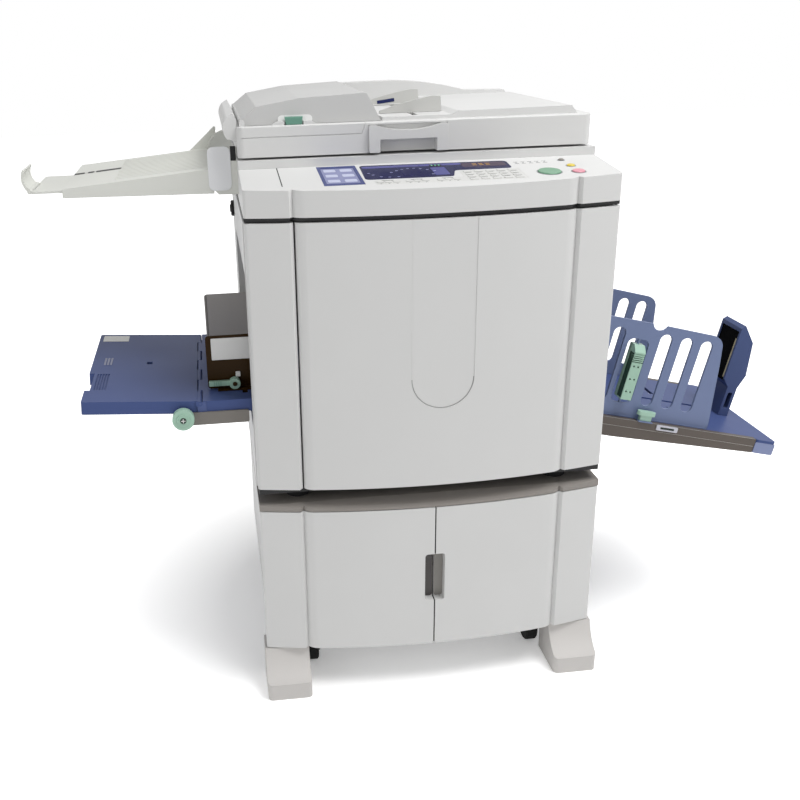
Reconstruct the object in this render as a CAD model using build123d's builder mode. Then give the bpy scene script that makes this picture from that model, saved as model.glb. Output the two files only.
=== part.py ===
from build123d import *
import os
from math import atan2, cos, degrees, radians, sin, sqrt, tan

# Digital duplicator on its cabinet stand, millimetres.
# X runs to the right, Y away from the operator, Z up from the floor.
# The origin is on the floor under the middle of the machine with its trays.

os.makedirs("parts", exist_ok=True)

# Datum and overall sizes
front = -290
body_half = 330
body_depth = 610
running_fit = 0.05
part_gap = 0.4

# The bowed front that the band, the cover and the stand doors share
front_radius = 1500
skin_inset = 2
skin_half = body_half - skin_inset
corner_set = 5.3
front_bulge = front_radius - sqrt(front_radius**2 - skin_half**2) - corner_set
groove_x = skin_half - 82
groove_depth = 8
groove_outer = groove_x + 6
middle_half = groove_x - 20
skin_wall = 4

# Levels from the floor up
stand_floor = 88
plate_bottom = stand_floor + 303
plate_top = plate_bottom + 12.5
base_bottom = plate_top + 20.5
base_top = base_bottom + 10
cover_bottom = base_top + 2
deck_bottom = base_top + 498
cover_top = deck_bottom - 2
band_bottom = deck_bottom + 7
band_top = band_bottom + 45
panel_rear_top = band_top + 17
housing_top = panel_rear_top + 15
lid_bottom = housing_top + 4
lid_top = lid_bottom + 54


def bow(x):
    """Y of the bowed front at a distance x from its middle."""
    return front - front_bulge + front_radius - sqrt(front_radius**2 - x**2)


def side_line(sign, back):
    """Front line of a side section, from its corner in to the foot of the groove."""
    middle = (skin_half + groove_outer) / 2
    run = ThreePointArc(
        (sign * skin_half, bow(skin_half) + back),
        (sign * middle, bow(middle) + back),
        (sign * groove_outer, bow(groove_outer) + back),
    )
    Line(run @ 1, (sign * groove_x, bow(groove_x) + groove_depth + back))


def flank_line(sign, back):
    """Soft shoulder from the foot of the groove up to the middle section."""
    foot = bow(groove_x) + groove_depth + back
    shoulder = bow(middle_half) + back
    ThreePointArc(
        (sign * groove_x, foot),
        (sign * (groove_x + middle_half) / 2, foot - 0.72 * (foot - shoulder)),
        (sign * middle_half, shoulder),
    )


def middle_line(left, right, back):
    """The long shallow arc across the middle."""
    middle = (left + right) / 2
    ThreePointArc(
        (left, bow(left) + back),
        (middle, bow(middle) + back),
        (right, bow(right) + back),
    )


def bowed_outline(rear, back=0):
    """Full-width outline of a piece behind the bowed front."""
    for sign in (-1, 1):
        side_line(sign, back)
        flank_line(sign, back)
    middle_line(-middle_half, middle_half, back)
    Polyline(
        (-skin_half, bow(skin_half) + back),
        (-skin_half, rear),
        (skin_half, rear),
        (skin_half, bow(skin_half) + back),
    )


# Stand: sheet-metal cabinet, open at the front, with axle brackets at the rear
cabinet_half = skin_half - 6
cabinet_front = front + 28
cabinet_rear = front + 598
cabinet_wall = 12
caster_x = cabinet_half - 90
caster_y = front + 102
caster_stem = 8
rear_axle_y = front + 540
rear_wheel_radius = 30
axle_radius = 5
bracket_gap = 34

with BuildPart() as stand_cabinet:
    with BuildSketch(Plane.XY.offset(stand_floor)):
        with Locations((0, (cabinet_front + cabinet_rear) / 2)):
            Rectangle(2 * cabinet_half, cabinet_rear - cabinet_front)
    extrude(amount=plate_bottom - stand_floor)
    with BuildSketch(Plane.XZ.offset(-cabinet_front)):
        with Locations((0, (stand_floor + plate_bottom) / 2)):
            Rectangle(2 * (cabinet_half - cabinet_wall), plate_bottom - stand_floor - 2 * cabinet_wall)
    extrude(amount=-(cabinet_rear - cabinet_front - cabinet_wall), mode=Mode.SUBTRACT)
    with BuildSketch(Plane.XY.offset(stand_floor)):
        with Locations((-caster_x, caster_y), (caster_x, caster_y)):
            Circle(caster_stem + running_fit)
    extrude(amount=cabinet_wall, mode=Mode.SUBTRACT)
    # Cheeks that carry the rear axle
    for side in (-1, 1):
        for cheek in (-1, 1):
            with BuildSketch(Plane.YZ.offset(side * caster_x + cheek * bracket_gap / 2)):
                with BuildLine():
                    Polyline(
                        (rear_axle_y - 24, stand_floor),
                        (rear_axle_y - 11, rear_wheel_radius - 11),
                        (rear_axle_y + 11, rear_wheel_radius - 11),
                        (rear_axle_y + 24, stand_floor),
                        close=True,
                    )
                make_face()
                with Locations((rear_axle_y, rear_wheel_radius)):
                    Circle(axle_radius + running_fit, mode=Mode.SUBTRACT)
            extrude(amount=cheek * 3)
stand_cabinet.part.label = "stand_cabinet"
export_step(stand_cabinet.part, "parts/stand_cabinet.step")

# Stand top plate: bevelled forward from its straight front edge to the bowed doors
pin_radius = 3
pin_x = skin_half - 9
pin_y = front + 15
plate_rear = front + 600

with BuildPart() as stand_top_plate:
    with BuildSketch(Plane.XY.offset(plate_bottom)):
        with BuildLine():
            bowed_outline(plate_rear)
        make_face()
    extrude(amount=plate_top - plate_bottom)
    bevel = Plane(
        origin=(0, front + 5, plate_top),
        x_dir=(1, 0, 0),
        z_dir=(0, -(plate_top - plate_bottom), front_bulge + 7),
    )
    split(bisect_by=bevel, keep=Keep.BOTTOM)
    with BuildSketch(Plane.XY.offset(plate_bottom)):
        with Locations((-pin_x, pin_y), (pin_x, pin_y)):
            Circle(pin_radius)
    extrude(amount=8, mode=Mode.SUBTRACT)
stand_top_plate.part.label = "stand_top_plate"
export_step(stand_top_plate.part, "parts/stand_top_plate.step")

# Stand doors: moulded shells hinged at their outer edges, one long grip split between them
door_bottom = stand_floor + 2
door_top = plate_bottom - 1.5
door_back = front + 22
grip_low = stand_floor + 100
grip_high = grip_low + 102
grip_half = 18
seam_half = 1.2
hollow_edge = skin_half - 28


def stand_door():
    """Left-hand stand door; the right one is its mirror image."""
    with BuildPart() as door:
        with BuildSketch(Plane.XY.offset(door_bottom)):
            with BuildLine():
                side_line(-1, 0)
                flank_line(-1, 0)
                middle_line(-middle_half, -seam_half, 0)
                Polyline(
                    (-seam_half, bow(seam_half)),
                    (-seam_half, door_back),
                    (-skin_half, door_back),
                    (-skin_half, bow(skin_half)),
                )
            make_face()
        extrude(amount=door_top - door_bottom)
        with BuildSketch(Plane.XY.offset(door_bottom + 8)):
            with BuildLine():
                flank_line(-1, skin_wall)
                middle_line(-middle_half, -40, skin_wall)
                Polyline(
                    (-40, bow(40) + skin_wall),
                    (-40, door_back),
                    (-hollow_edge, door_back),
                    (-hollow_edge, bow(hollow_edge) + skin_wall),
                    (-groove_x, bow(groove_x) + groove_depth + skin_wall),
                )
            make_face()
        extrude(amount=door_top - door_bottom - 16, mode=Mode.SUBTRACT)
        # Half of the shared finger grip at the free edge
        with BuildSketch(Plane.XZ.offset(-(front - front_bulge - 2))):
            with Locations((-seam_half, (grip_low + grip_high) / 2)):
                RectangleRounded(2 * grip_half, grip_high - grip_low, 6)
        extrude(amount=-20, mode=Mode.SUBTRACT)
        back_edges = door.edges().filter_by(Axis.Z).group_by(Axis.X)[0]
        fillet(back_edges, radius=5)
        for level, depth in ((door_top, -12), (door_bottom, 12)):
            with BuildSketch(Plane.XY.offset(level)):
                with Locations((-pin_x, pin_y)):
                    Circle(pin_radius + running_fit)
            extrude(amount=depth, mode=Mode.SUBTRACT)
    return door


stand_door_left = stand_door()
stand_door_left.part.label = "stand_door_left"
export_step(stand_door_left.part, "parts/stand_door_left.step")

with BuildPart() as stand_door_right:
    mirror(stand_door_left.part, about=Plane.YZ)
stand_door_right.part.label = "stand_door_right"
export_step(stand_door_right.part, "parts/stand_door_right.step")

# Stand feet: tapered mouldings under the front corners, flared forward at the floor
foot_inner = skin_half - 83
foot_outer = skin_half + 4
foot_toe = front - 46
foot_sole = 34
foot_back = front + 52

with BuildPart() as stand_foot_left:
    with BuildSketch(Plane.YZ.offset(-foot_outer)):
        with BuildLine():
            Polyline(
                (foot_back, 0),
                (foot_back, stand_floor),
                (front + 2, stand_floor),
            )
            ThreePointArc((front + 2, stand_floor), (front - 12, 58), (foot_toe, foot_sole))
            Polyline((foot_toe, foot_sole), (foot_toe, 0), (foot_back, 0))
        make_face()
    extrude(amount=foot_outer - foot_inner)
    toe_edges = stand_foot_left.edges().filter_by(Axis.Z).group_by(Axis.Y)[0]
    fillet(toe_edges, radius=10)
    with BuildSketch(Plane.XY.offset(stand_floor)):
        with Locations((-pin_x, pin_y)):
            Circle(pin_radius)
    extrude(amount=-12, mode=Mode.SUBTRACT)
stand_foot_left.part.label = "stand_foot_left"
export_step(stand_foot_left.part, "parts/stand_foot_left.step")

with BuildPart() as stand_foot_right:
    mirror(stand_foot_left.part, about=Plane.YZ)
stand_foot_right.part.label = "stand_foot_right"
export_step(stand_foot_right.part, "parts/stand_foot_right.step")

# Front casters: a swivelling fork on a plain stem, with a trailing wheel
caster_trail = -16
caster_wheel_radius = 30
caster_lift = 0.6
fork_gap = 27
fork_wall = 3
wheel_width = 24
fork_axle = 4


def caster_fork(x):
    """Stem, round head and two arms that hold the wheel's axle."""
    hub = caster_wheel_radius + caster_lift
    with BuildPart() as fork:
        with BuildSketch(Plane.XY.offset(stand_floor - 4 - part_gap)):
            with Locations((x, caster_y)):
                Circle(22)
        extrude(amount=4)
        with BuildSketch(Plane.XY.offset(stand_floor - 4)):
            with Locations((x, caster_y)):
                Circle(caster_stem)
        extrude(amount=4 + cabinet_wall - 1)
        for arm in (-1, 1):
            with BuildSketch(Plane.YZ.offset(x + arm * fork_gap / 2)):
                with BuildLine():
                    Polyline(
                        (caster_y - 18, stand_floor - 4 - part_gap),
                        (caster_y + 18, stand_floor - 4 - part_gap),
                        (caster_y + caster_trail + 9, hub - 9),
                        (caster_y + caster_trail - 9, hub - 9),
                        close=True,
                    )
                make_face()
            extrude(amount=arm * fork_wall)
        with BuildSketch(Plane.YZ.offset(x - fork_gap / 2)):
            with Locations((caster_y + caster_trail, hub)):
                Circle(fork_axle)
        extrude(amount=fork_gap)
    return fork


def caster_wheel(x):
    """Solid rubber tread on a hub, bored for the fork's axle."""
    hub = caster_wheel_radius + caster_lift
    with BuildPart() as wheel:
        with BuildSketch(Plane.YZ.offset(x - wheel_width / 2)):
            with Locations((caster_y + caster_trail, hub)):
                Circle(caster_wheel_radius)
                Circle(fork_axle + running_fit, mode=Mode.SUBTRACT)
        extrude(amount=wheel_width)
        chamfer(wheel.edges().filter_by(GeomType.CIRCLE).group_by(SortBy.RADIUS)[-1], length=3)
    return wheel


for side, x in (("left", -caster_x), ("right", caster_x)):
    fork = caster_fork(x)
    fork.part.label = f"caster_fork_{side}"
    export_step(fork.part, f"parts/caster_fork_{side}.step")
    wheel = caster_wheel(x)
    wheel.part.label = f"caster_wheel_{side}"
    export_step(wheel.part, f"parts/caster_wheel_{side}.step")

# Rear wheels: two on one axle that turns in the cabinet's cheeks
with BuildPart() as rear_wheels:
    with BuildSketch(Plane.YZ.offset(-caster_x - 22)):
        with Locations((rear_axle_y, rear_wheel_radius)):
            Circle(axle_radius)
    extrude(amount=2 * caster_x + 44)
    for side in (-1, 1):
        with BuildSketch(Plane.YZ.offset(side * caster_x - wheel_width / 2)):
            with Locations((rear_axle_y, rear_wheel_radius)):
                Circle(rear_wheel_radius)
        extrude(amount=wheel_width)
    chamfer(rear_wheels.edges().filter_by(GeomType.CIRCLE).group_by(SortBy.RADIUS)[-1], length=3)
rear_wheels.part.label = "rear_wheels"
export_step(rear_wheels.part, "parts/rear_wheels.step")

# Hinge pins: plain steel pins for the two stand doors and the front cover
cover_pin_x = skin_half - 10

with BuildPart() as hinge_pins:
    for x in (-pin_x, pin_x):
        for low, high in ((stand_floor - 11, door_bottom + 11), (door_top - 11, plate_bottom + 7)):
            with BuildSketch(Plane.XY.offset(low)):
                with Locations((x, pin_y)):
                    Circle(pin_radius)
            extrude(amount=high - low)
    for low, high in ((base_bottom + 1, cover_bottom + 11), (cover_top - 11, deck_bottom + 6)):
        with BuildSketch(Plane.XY.offset(low)):
            with Locations((cover_pin_x, pin_y)):
                Circle(pin_radius)
        extrude(amount=high - low)
hinge_pins.part.label = "hinge_pins"
export_step(hinge_pins.part, "parts/hinge_pins.step")

# Rubber feet of the machine on the stand's top plate
foot_radius = 22
foot_place_x = body_half - 78
foot_front_y = front + 52
foot_rear_y = front + 548

with BuildPart() as machine_feet:
    with BuildSketch(Plane.XY.offset(plate_top)):
        for y in (foot_front_y, foot_rear_y):
            with Locations((-foot_place_x, y), (foot_place_x, y)):
                Circle(foot_radius)
    extrude(amount=base_bottom - plate_top, taper=4)
machine_feet.part.label = "machine_feet"
export_step(machine_feet.part, "parts/machine_feet.step")

# Chassis: base plate, two bearing plates for the drum line, tie bars and a top deck
frame_left = 125 - body_half
frame_right = body_half - 30
ear_left = 74 - body_half
ear_bottom = base_top + 284
front_plate_y = front + 70
rear_plate_y = front + 560
plate_wall = 5
drum_x = 70
drum_z = base_top + 374.5
drum_radius = 90
press_radius = 28
nip_gap = 1
feed_roller_x = 90 - body_half
feed_roller_z = base_top + 311
feed_roller_radius = 20
feed_shaft_radius = 6
shaft_radius = 8
master_x = -120
master_z = base_top + 434
motor_x = frame_right - 70
motor_z = base_top + 96
press_z = drum_z - drum_radius - nip_gap - press_radius
chassis_half = body_half - 4
post_x = 35 - body_half
tie_radius = 7

with BuildPart() as chassis:
    with BuildSketch(Plane.XY.offset(base_bottom)):
        with Locations((0, (front + 8 + cabinet_rear - 1) / 2)):
            Rectangle(2 * chassis_half, cabinet_rear - 1 - front - 8)
        with Locations((cover_pin_x, pin_y)):
            Circle(pin_radius, mode=Mode.SUBTRACT)
    extrude(amount=base_top - base_bottom)
    with BuildSketch(Plane.XY.offset(deck_bottom)):
        with BuildLine():
            bowed_outline(cabinet_rear - 1, back=6)
        make_face()
        with Locations((cover_pin_x, pin_y)):
            Circle(pin_radius, mode=Mode.SUBTRACT)
    extrude(amount=band_bottom - deck_bottom)
    for y in (front_plate_y, rear_plate_y):
        with BuildSketch(Plane.XZ.offset(-y)):
            with Locations(((frame_left + frame_right) / 2, (base_top + deck_bottom) / 2)):
                Rectangle(frame_right - frame_left, deck_bottom - base_top)
            with Locations(((ear_left + frame_left + 2) / 2, (ear_bottom + deck_bottom) / 2)):
                Rectangle(frame_left + 2 - ear_left, deck_bottom - ear_bottom)
            with Locations((drum_x, drum_z), (drum_x, press_z), (master_x, master_z)):
                Circle(shaft_radius + running_fit, mode=Mode.SUBTRACT)
            with Locations((feed_roller_x, feed_roller_z)):
                Circle(feed_shaft_radius + running_fit, mode=Mode.SUBTRACT)
            with Locations((frame_right - 60, base_top + 416)):
                RectangleRounded(70, 60, 12, mode=Mode.SUBTRACT)
            with Locations((-20, base_top + 66)):
                RectangleRounded(240, 60, 12, mode=Mode.SUBTRACT)
        extrude(amount=-plate_wall)
    # Tie bars that hold the bearing plates apart
    with BuildSketch(Plane.XZ.offset(-front_plate_y)):
        with Locations((frame_left + 20, base_top + 376), (frame_right - 20, base_top + 346)):
            Circle(tie_radius)
        with Locations((frame_left + 20, base_top + 26), (frame_right - 20, base_top + 26)):
            Circle(tie_radius)
    extrude(amount=-(rear_plate_y - front_plate_y))
    # Cross wall that the paper stack's leading edge meets
    with BuildSketch(Plane.YZ.offset(frame_left)):
        with Locations(((front_plate_y + rear_plate_y + plate_wall) / 2, (base_top + ear_bottom - 2) / 2)):
            Rectangle(rear_plate_y - front_plate_y, ear_bottom - 2 - base_top)
    extrude(amount=3)
    # Posts on the feed side that carry the deck
    with BuildSketch(Plane.XY.offset(base_top)):
        with Locations((post_x, front + 570)):
            Rectangle(20, 14)
        with Locations((post_x, front + 31)):
            Rectangle(20, 6)
    extrude(amount=deck_bottom - base_top)
chassis.part.label = "chassis"
export_step(chassis.part, "parts/chassis.step")

# Side and rear covers with the feed and delivery openings
side_wall = 10
side_front = front + 27
feed_open_low = base_top + 114
feed_open_high = base_top + 402
feed_open_front = front + 34
feed_open_rear = front + 466
exit_open_low = base_top + 69
exit_open_high = base_top + 310
exit_open_front = front + 88
exit_open_rear = front + 424


def side_cover(sign, low, high, near, far):
    """Flat outer panel with one opening, returned at its front and rear edges."""
    with BuildPart() as cover:
        with BuildSketch(Plane.YZ.offset(sign * body_half)):
            with Locations(((side_front + cabinet_rear) / 2, (cover_bottom + cover_top) / 2)):
                Rectangle(cabinet_rear - side_front, deck_bottom - base_top)
            with Locations(((near + far) / 2, (low + high) / 2)):
                RectangleRounded(far - near, high - low, 14, mode=Mode.SUBTRACT)
        extrude(amount=-sign * side_wall)
        # Moulded lip round the opening
        with BuildSketch(Plane.YZ.offset(sign * (body_half - side_wall))):
            with Locations(((near + far) / 2, (low + high) / 2)):
                RectangleRounded(far - near + 12, high - low + 12, 20)
                RectangleRounded(far - near, high - low, 14, mode=Mode.SUBTRACT)
        extrude(amount=-sign * 8)
    return cover


left_cover = side_cover(-1, feed_open_low, feed_open_high, feed_open_front, feed_open_rear)
left_cover.part.label = "left_cover"
export_step(left_cover.part, "parts/left_cover.step")

right_cover = side_cover(1, exit_open_low, exit_open_high, exit_open_front, exit_open_rear)
right_cover.part.label = "right_cover"
export_step(right_cover.part, "parts/right_cover.step")

louvre_count = 9
louvre_pitch = 14

with BuildPart() as rear_cover:
    with BuildSketch(Plane.XZ.offset(-cabinet_rear)):
        with Locations((0, (base_top + deck_bottom) / 2)):
            Rectangle(2 * body_half, deck_bottom - base_top)
        with Locations((-150, deck_bottom - 92)):
            with GridLocations(0, louvre_pitch, 1, louvre_count):
                Rectangle(180, 6, mode=Mode.SUBTRACT)
        # Socket for the mains lead
        with Locations((70 - body_half, base_top + 66)):
            RectangleRounded(28, 22, 3, mode=Mode.SUBTRACT)
    extrude(amount=-(front + body_depth - cabinet_rear))
rear_cover.part.label = "rear_cover"
export_step(rear_cover.part, "parts/rear_cover.step")

# Fixed panel to the left of the front cover
panel_return = side_front

with BuildPart() as front_left_panel:
    with BuildSketch(Plane.XY.offset(cover_bottom)):
        with BuildLine():
            side_line(-1, 0)
            Polyline(
                (-groove_x, bow(groove_x) + groove_depth),
                (-groove_x, panel_return),
                (-skin_half, panel_return),
                (-skin_half, bow(skin_half)),
            )
        make_face()
    extrude(amount=cover_top - cover_bottom)
    corner = front_left_panel.edges().filter_by(Axis.Z).group_by(Axis.X)[0].sort_by(Axis.Y)[0]
    fillet(corner, radius=7)
    with BuildSketch(Plane.XY.offset(cover_bottom + 8)):
        with Locations(((-skin_half - groove_x) / 2, front + 18)):
            Rectangle(skin_half - groove_x - 14, 16.5)
    extrude(amount=cover_top - cover_bottom - 16, mode=Mode.SUBTRACT)
front_left_panel.part.label = "front_left_panel"
export_step(front_left_panel.part, "parts/front_left_panel.step")

# Front cover: one large moulded shell, hinged at the right, with a sunk centre panel
cover_back = front + 22
recess_left = -48
recess_right = 66
recess_low = base_top + 154
recess_depth = 2.2

with BuildPart() as front_cover:
    with BuildSketch(Plane.XY.offset(cover_bottom)):
        with BuildLine():
            cover_edge = -groove_x + 3
            foot = bow(groove_x) + groove_depth
            ThreePointArc(
                (cover_edge, foot),
                ((cover_edge - middle_half) / 2, foot - 0.72 * (foot - bow(middle_half))),
                (-middle_half, bow(middle_half)),
            )
            middle_line(-middle_half, middle_half, 0)
            flank_line(1, 0)
            side_line(1, 0)
            Polyline(
                (skin_half, bow(skin_half)),
                (skin_half, cover_back),
                (cover_edge, cover_back),
                (cover_edge, foot),
            )
        make_face()
    extrude(amount=cover_top - cover_bottom)
    with BuildSketch(Plane.XY.offset(cover_bottom + 10)):
        with BuildLine():
            middle_line(-middle_half, middle_half, skin_wall + recess_depth)
            Polyline(
                (middle_half, bow(middle_half) + skin_wall + recess_depth),
                (middle_half + 10, cover_back),
                (-middle_half, cover_back),
                (-middle_half, bow(middle_half) + skin_wall + recess_depth),
            )
        make_face()
    extrude(amount=cover_top - cover_bottom - 20, mode=Mode.SUBTRACT)
    with BuildSketch(Plane.XZ.offset(-(front - front_bulge - 5))):
        with BuildLine():
            radius = (recess_right - recess_left) / 2
            Polyline(
                (recess_left, recess_low + radius),
                (recess_left, cover_top + 5),
                (recess_right, cover_top + 5),
                (recess_right, recess_low + radius),
            )
            ThreePointArc(
                (recess_left, recess_low + radius),
                ((recess_left + recess_right) / 2, recess_low),
                (recess_right, recess_low + radius),
            )
        make_face()
    extrude(amount=-(5 + recess_depth), mode=Mode.SUBTRACT)
    hinge_edges = front_cover.edges().filter_by(Axis.Z).group_by(Axis.X)[-1]
    fillet(hinge_edges, radius=6)
    for level, depth in ((cover_top, -12), (cover_bottom, 12)):
        with BuildSketch(Plane.XY.offset(level)):
            with Locations((cover_pin_x, pin_y)):
                Circle(pin_radius + running_fit)
        extrude(amount=depth, mode=Mode.SUBTRACT)
front_cover.part.label = "front_cover"
export_step(front_cover.part, "parts/front_cover.step")

# Print line: drum, press roller, master roll, feed roller and main motor
drum_end = 18
roller_near = front_plate_y + plate_wall + drum_end
roller_length = rear_plate_y - roller_near - drum_end
journal_near = front_plate_y - 4
journal_length = rear_plate_y + plate_wall + 4 - journal_near


def roller(x, z, radius, journal):
    """Roller along Y whose journals run in the two bearing plates."""
    with BuildPart() as turned:
        with BuildSketch(Plane.XZ.offset(-roller_near)):
            with Locations((x, z)):
                Circle(radius)
        extrude(amount=-roller_length)
        with BuildSketch(Plane.XZ.offset(-journal_near)):
            with Locations((x, z)):
                Circle(journal)
        extrude(amount=-journal_length)
    return turned


with BuildPart() as print_drum:
    add(roller(drum_x, drum_z, drum_radius, shaft_radius).part)
    # Seat of the clamp that holds the master's leading edge
    with BuildSketch(Plane.XZ.offset(-roller_near - 10)):
        with Locations((drum_x, drum_z + drum_radius)):
            Rectangle(26, 6)
    extrude(amount=-(roller_length - 20), mode=Mode.SUBTRACT)
print_drum.part.label = "print_drum"
export_step(print_drum.part, "parts/print_drum.step")

press_roller = roller(drum_x, press_z, press_radius, shaft_radius)
press_roller.part.label = "press_roller"
export_step(press_roller.part, "parts/press_roller.step")

master_roll = roller(master_x, master_z, 28, shaft_radius)
master_roll.part.label = "master_roll"
export_step(master_roll.part, "parts/master_roll.step")

# Feed roller: two rubber tyres at the middle of a long shaft over the feed tray
paper_middle = front + 256
tyre_width = 30
tyre_offset = 45

with BuildPart() as feed_roller:
    with BuildSketch(Plane.XZ.offset(-journal_near)):
        with Locations((feed_roller_x, feed_roller_z)):
            Circle(feed_shaft_radius)
    extrude(amount=-journal_length)
    for side in (-1, 1):
        with BuildSketch(Plane.XZ.offset(-(paper_middle + side * tyre_offset - tyre_width / 2))):
            with Locations((feed_roller_x, feed_roller_z)):
                Circle(feed_roller_radius)
        extrude(amount=-tyre_width)
feed_roller.part.label = "feed_roller"
export_step(feed_roller.part, "parts/feed_roller.step")

with BuildPart() as drive_motor:
    with BuildSketch(Plane.XZ.offset(-(rear_plate_y - 92))):
        with Locations((motor_x, motor_z)):
            Circle(38)
    extrude(amount=-84)
    with BuildSketch(Plane.XZ.offset(-(rear_plate_y - 8))):
        with Locations((motor_x, motor_z)):
            RectangleRounded(88, 88, 8)
    extrude(amount=-8)
    with BuildSketch(Plane.XZ.offset(-(rear_plate_y - 100))):
        with Locations((motor_x, motor_z)):
            Circle(6)
    extrude(amount=-20)
drive_motor.part.label = "drive_motor"
export_step(drive_motor.part, "parts/drive_motor.step")

# Control panel: bowed band whose top slopes down to the operator
panel_slope = degrees(atan2(panel_rear_top - band_top, 150))
panel_back = front + 275
panel_rear = front + 140
panel_face = Plane(
    origin=(0, front - 10, band_top),
    x_dir=(1, 0, 0),
    z_dir=(0, -sin(radians(panel_slope)), cos(radians(panel_slope))),
)
window_depth = 2
window_fit = 0.2
display_corner = 9
mat_depth = 1
key_well = 8
key_fit = 0.4
key_stand = 2.5
key_travel = 1.5

# Each push key: name, place across and up the sloping panel, and radius
start_place = (skin_half - 121, 46)
stop_place = (skin_half - 71, 40)
reset_place = (skin_half - 71, 80)
wake_place = (skin_half - 75, 121)
start_radius = 20
stop_radius = 11
reset_radius = 7
wake_radius = 5


def display_line(fit):
    """L-shaped outline of the dark display window, in the panel's own plane."""
    Polyline(
        (-116 - fit, 46 - fit),
        (-113 - fit, 143 + fit),
        (154 + fit, 136 + fit),
        (152 + fit, 84 - fit),
        (48 + fit, 84 - fit),
        (38 + fit, 46 - fit),
        close=True,
    )


def mat_line(fit):
    """Outline of the key mat in front of the display and at its right."""
    Polyline(
        (-102 - fit, 13 - fit),
        (-102 - fit, 40 + fit),
        (54 - fit, 40 + fit),
        (54 - fit, 79 + fit),
        (160 + fit, 79 + fit),
        (160 + fit, 13 - fit),
        close=True,
    )


with BuildPart() as control_panel:
    with BuildSketch(Plane.XY.offset(band_bottom)):
        with BuildLine():
            bowed_outline(panel_back)
        make_face()
    extrude(amount=panel_rear_top - band_bottom)
    front_corners = control_panel.edges().filter_by(Axis.Z).group_by(Axis.X)
    fillet(front_corners[0].sort_by(Axis.Y)[0], radius=7)
    fillet(control_panel.edges().filter_by(Axis.Z).group_by(Axis.X)[-1].sort_by(Axis.Y)[0], radius=7)
    split(bisect_by=panel_face, keep=Keep.BOTTOM)
    # Hollow underside
    with BuildSketch(Plane.XY.offset(band_bottom)):
        with Locations((0, (front + 12 + panel_back - 5) / 2)):
            Rectangle(2 * skin_half - 12, panel_back - 5 - front - 12)
    extrude(amount=24, mode=Mode.SUBTRACT)
    # Sinks for the window, the touch panel and the key mat
    with BuildSketch(panel_face.offset(-window_depth)):
        with BuildLine():
            display_line(window_fit)
        make_face()
        fillet(vertices(), radius=display_corner)
    extrude(amount=window_depth + 5, mode=Mode.SUBTRACT)
    with BuildSketch(panel_face.offset(-window_depth)):
        with Locations((-155, 83)):
            Rectangle(70 + 2 * window_fit, 128 + 2 * window_fit)
    extrude(amount=window_depth + 5, mode=Mode.SUBTRACT)
    with BuildSketch(panel_face.offset(-mat_depth)):
        with BuildLine():
            mat_line(window_fit)
        make_face()
    extrude(amount=mat_depth + 5, mode=Mode.SUBTRACT)
    for place, radius in (
        (start_place, start_radius),
        (stop_place, stop_radius),
        (reset_place, reset_radius),
        (wake_place, wake_radius),
    ):
        with BuildSketch(panel_face.offset(-key_well)):
            with Locations(place):
                Circle(radius + key_fit)
        extrude(amount=key_well + 5, mode=Mode.SUBTRACT)
    # Joint line of the blank cap at the left
    with BuildSketch(panel_face.offset(-1)):
        with Locations((68 - skin_half, 90)):
            Rectangle(1, 124)
    extrude(amount=5, mode=Mode.SUBTRACT)
control_panel.part.label = "control_panel"
export_step(control_panel.part, "parts/control_panel.step")

with BuildPart() as display_window:
    with BuildSketch(panel_face.offset(-window_depth)):
        with BuildLine():
            display_line(0)
        make_face()
        fillet(vertices(), radius=display_corner)
    extrude(amount=window_depth)
display_window.part.label = "display_window"
export_step(display_window.part, "parts/display_window.step")

with BuildPart() as touch_panel:
    with BuildSketch(panel_face.offset(-window_depth)):
        with Locations((-155, 83)):
            Rectangle(70, 128)
    extrude(amount=window_depth)
    # Sunk screen inside its frame
    with BuildSketch(panel_face.offset(-0.6)):
        with Locations((-155, 83)):
            RectangleRounded(58, 112, 3)
    extrude(amount=1, mode=Mode.SUBTRACT)
touch_panel.part.label = "touch_panel"
export_step(touch_panel.part, "parts/touch_panel.step")

with BuildPart() as key_mat:
    with BuildSketch(panel_face.offset(-mat_depth)):
        with BuildLine():
            mat_line(0)
        make_face()
    extrude(amount=mat_depth)
    with BuildSketch(panel_face):
        with Locations((107, 46)):
            with GridLocations(20, 16, 5, 4):
                Rectangle(14, 9)
        for middle in (-80, -30, 24):
            with Locations((middle, 26)):
                with GridLocations(14, 0, 3, 1):
                    Rectangle(11, 9)
    extrude(amount=1.2)
key_mat.part.label = "key_mat"
export_step(key_mat.part, "parts/key_mat.step")


def push_key(place, radius):
    """Round key standing proud of the panel, with room below it for its travel."""
    with BuildPart() as key:
        with BuildSketch(panel_face.offset(-key_well + key_travel + 0.3)):
            with Locations(place):
                Circle(radius)
        extrude(amount=key_well - key_travel - 0.3 + key_stand)
        chamfer(key.faces().sort_by(Axis.Z)[-1].edges(), length=1)
    return key


for name, place, radius in (
    ("start_key", start_place, start_radius),
    ("stop_key", stop_place, stop_radius),
    ("reset_key", reset_place, reset_radius),
    ("wake_key", wake_place, wake_radius),
):
    key = push_key(place, radius)
    key.part.label = name
    export_step(key.part, f"parts/{name}.step")

# Scanner housing: closed box behind the panel with the carriage's bay under the glass
housing_half = skin_half
housing_rear = front + 594
glass_left = -250
glass_right = 196
glass_near = front + 190
glass_far = front + 505
glass_thick = 4
bay_floor = panel_rear_top - 45

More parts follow.
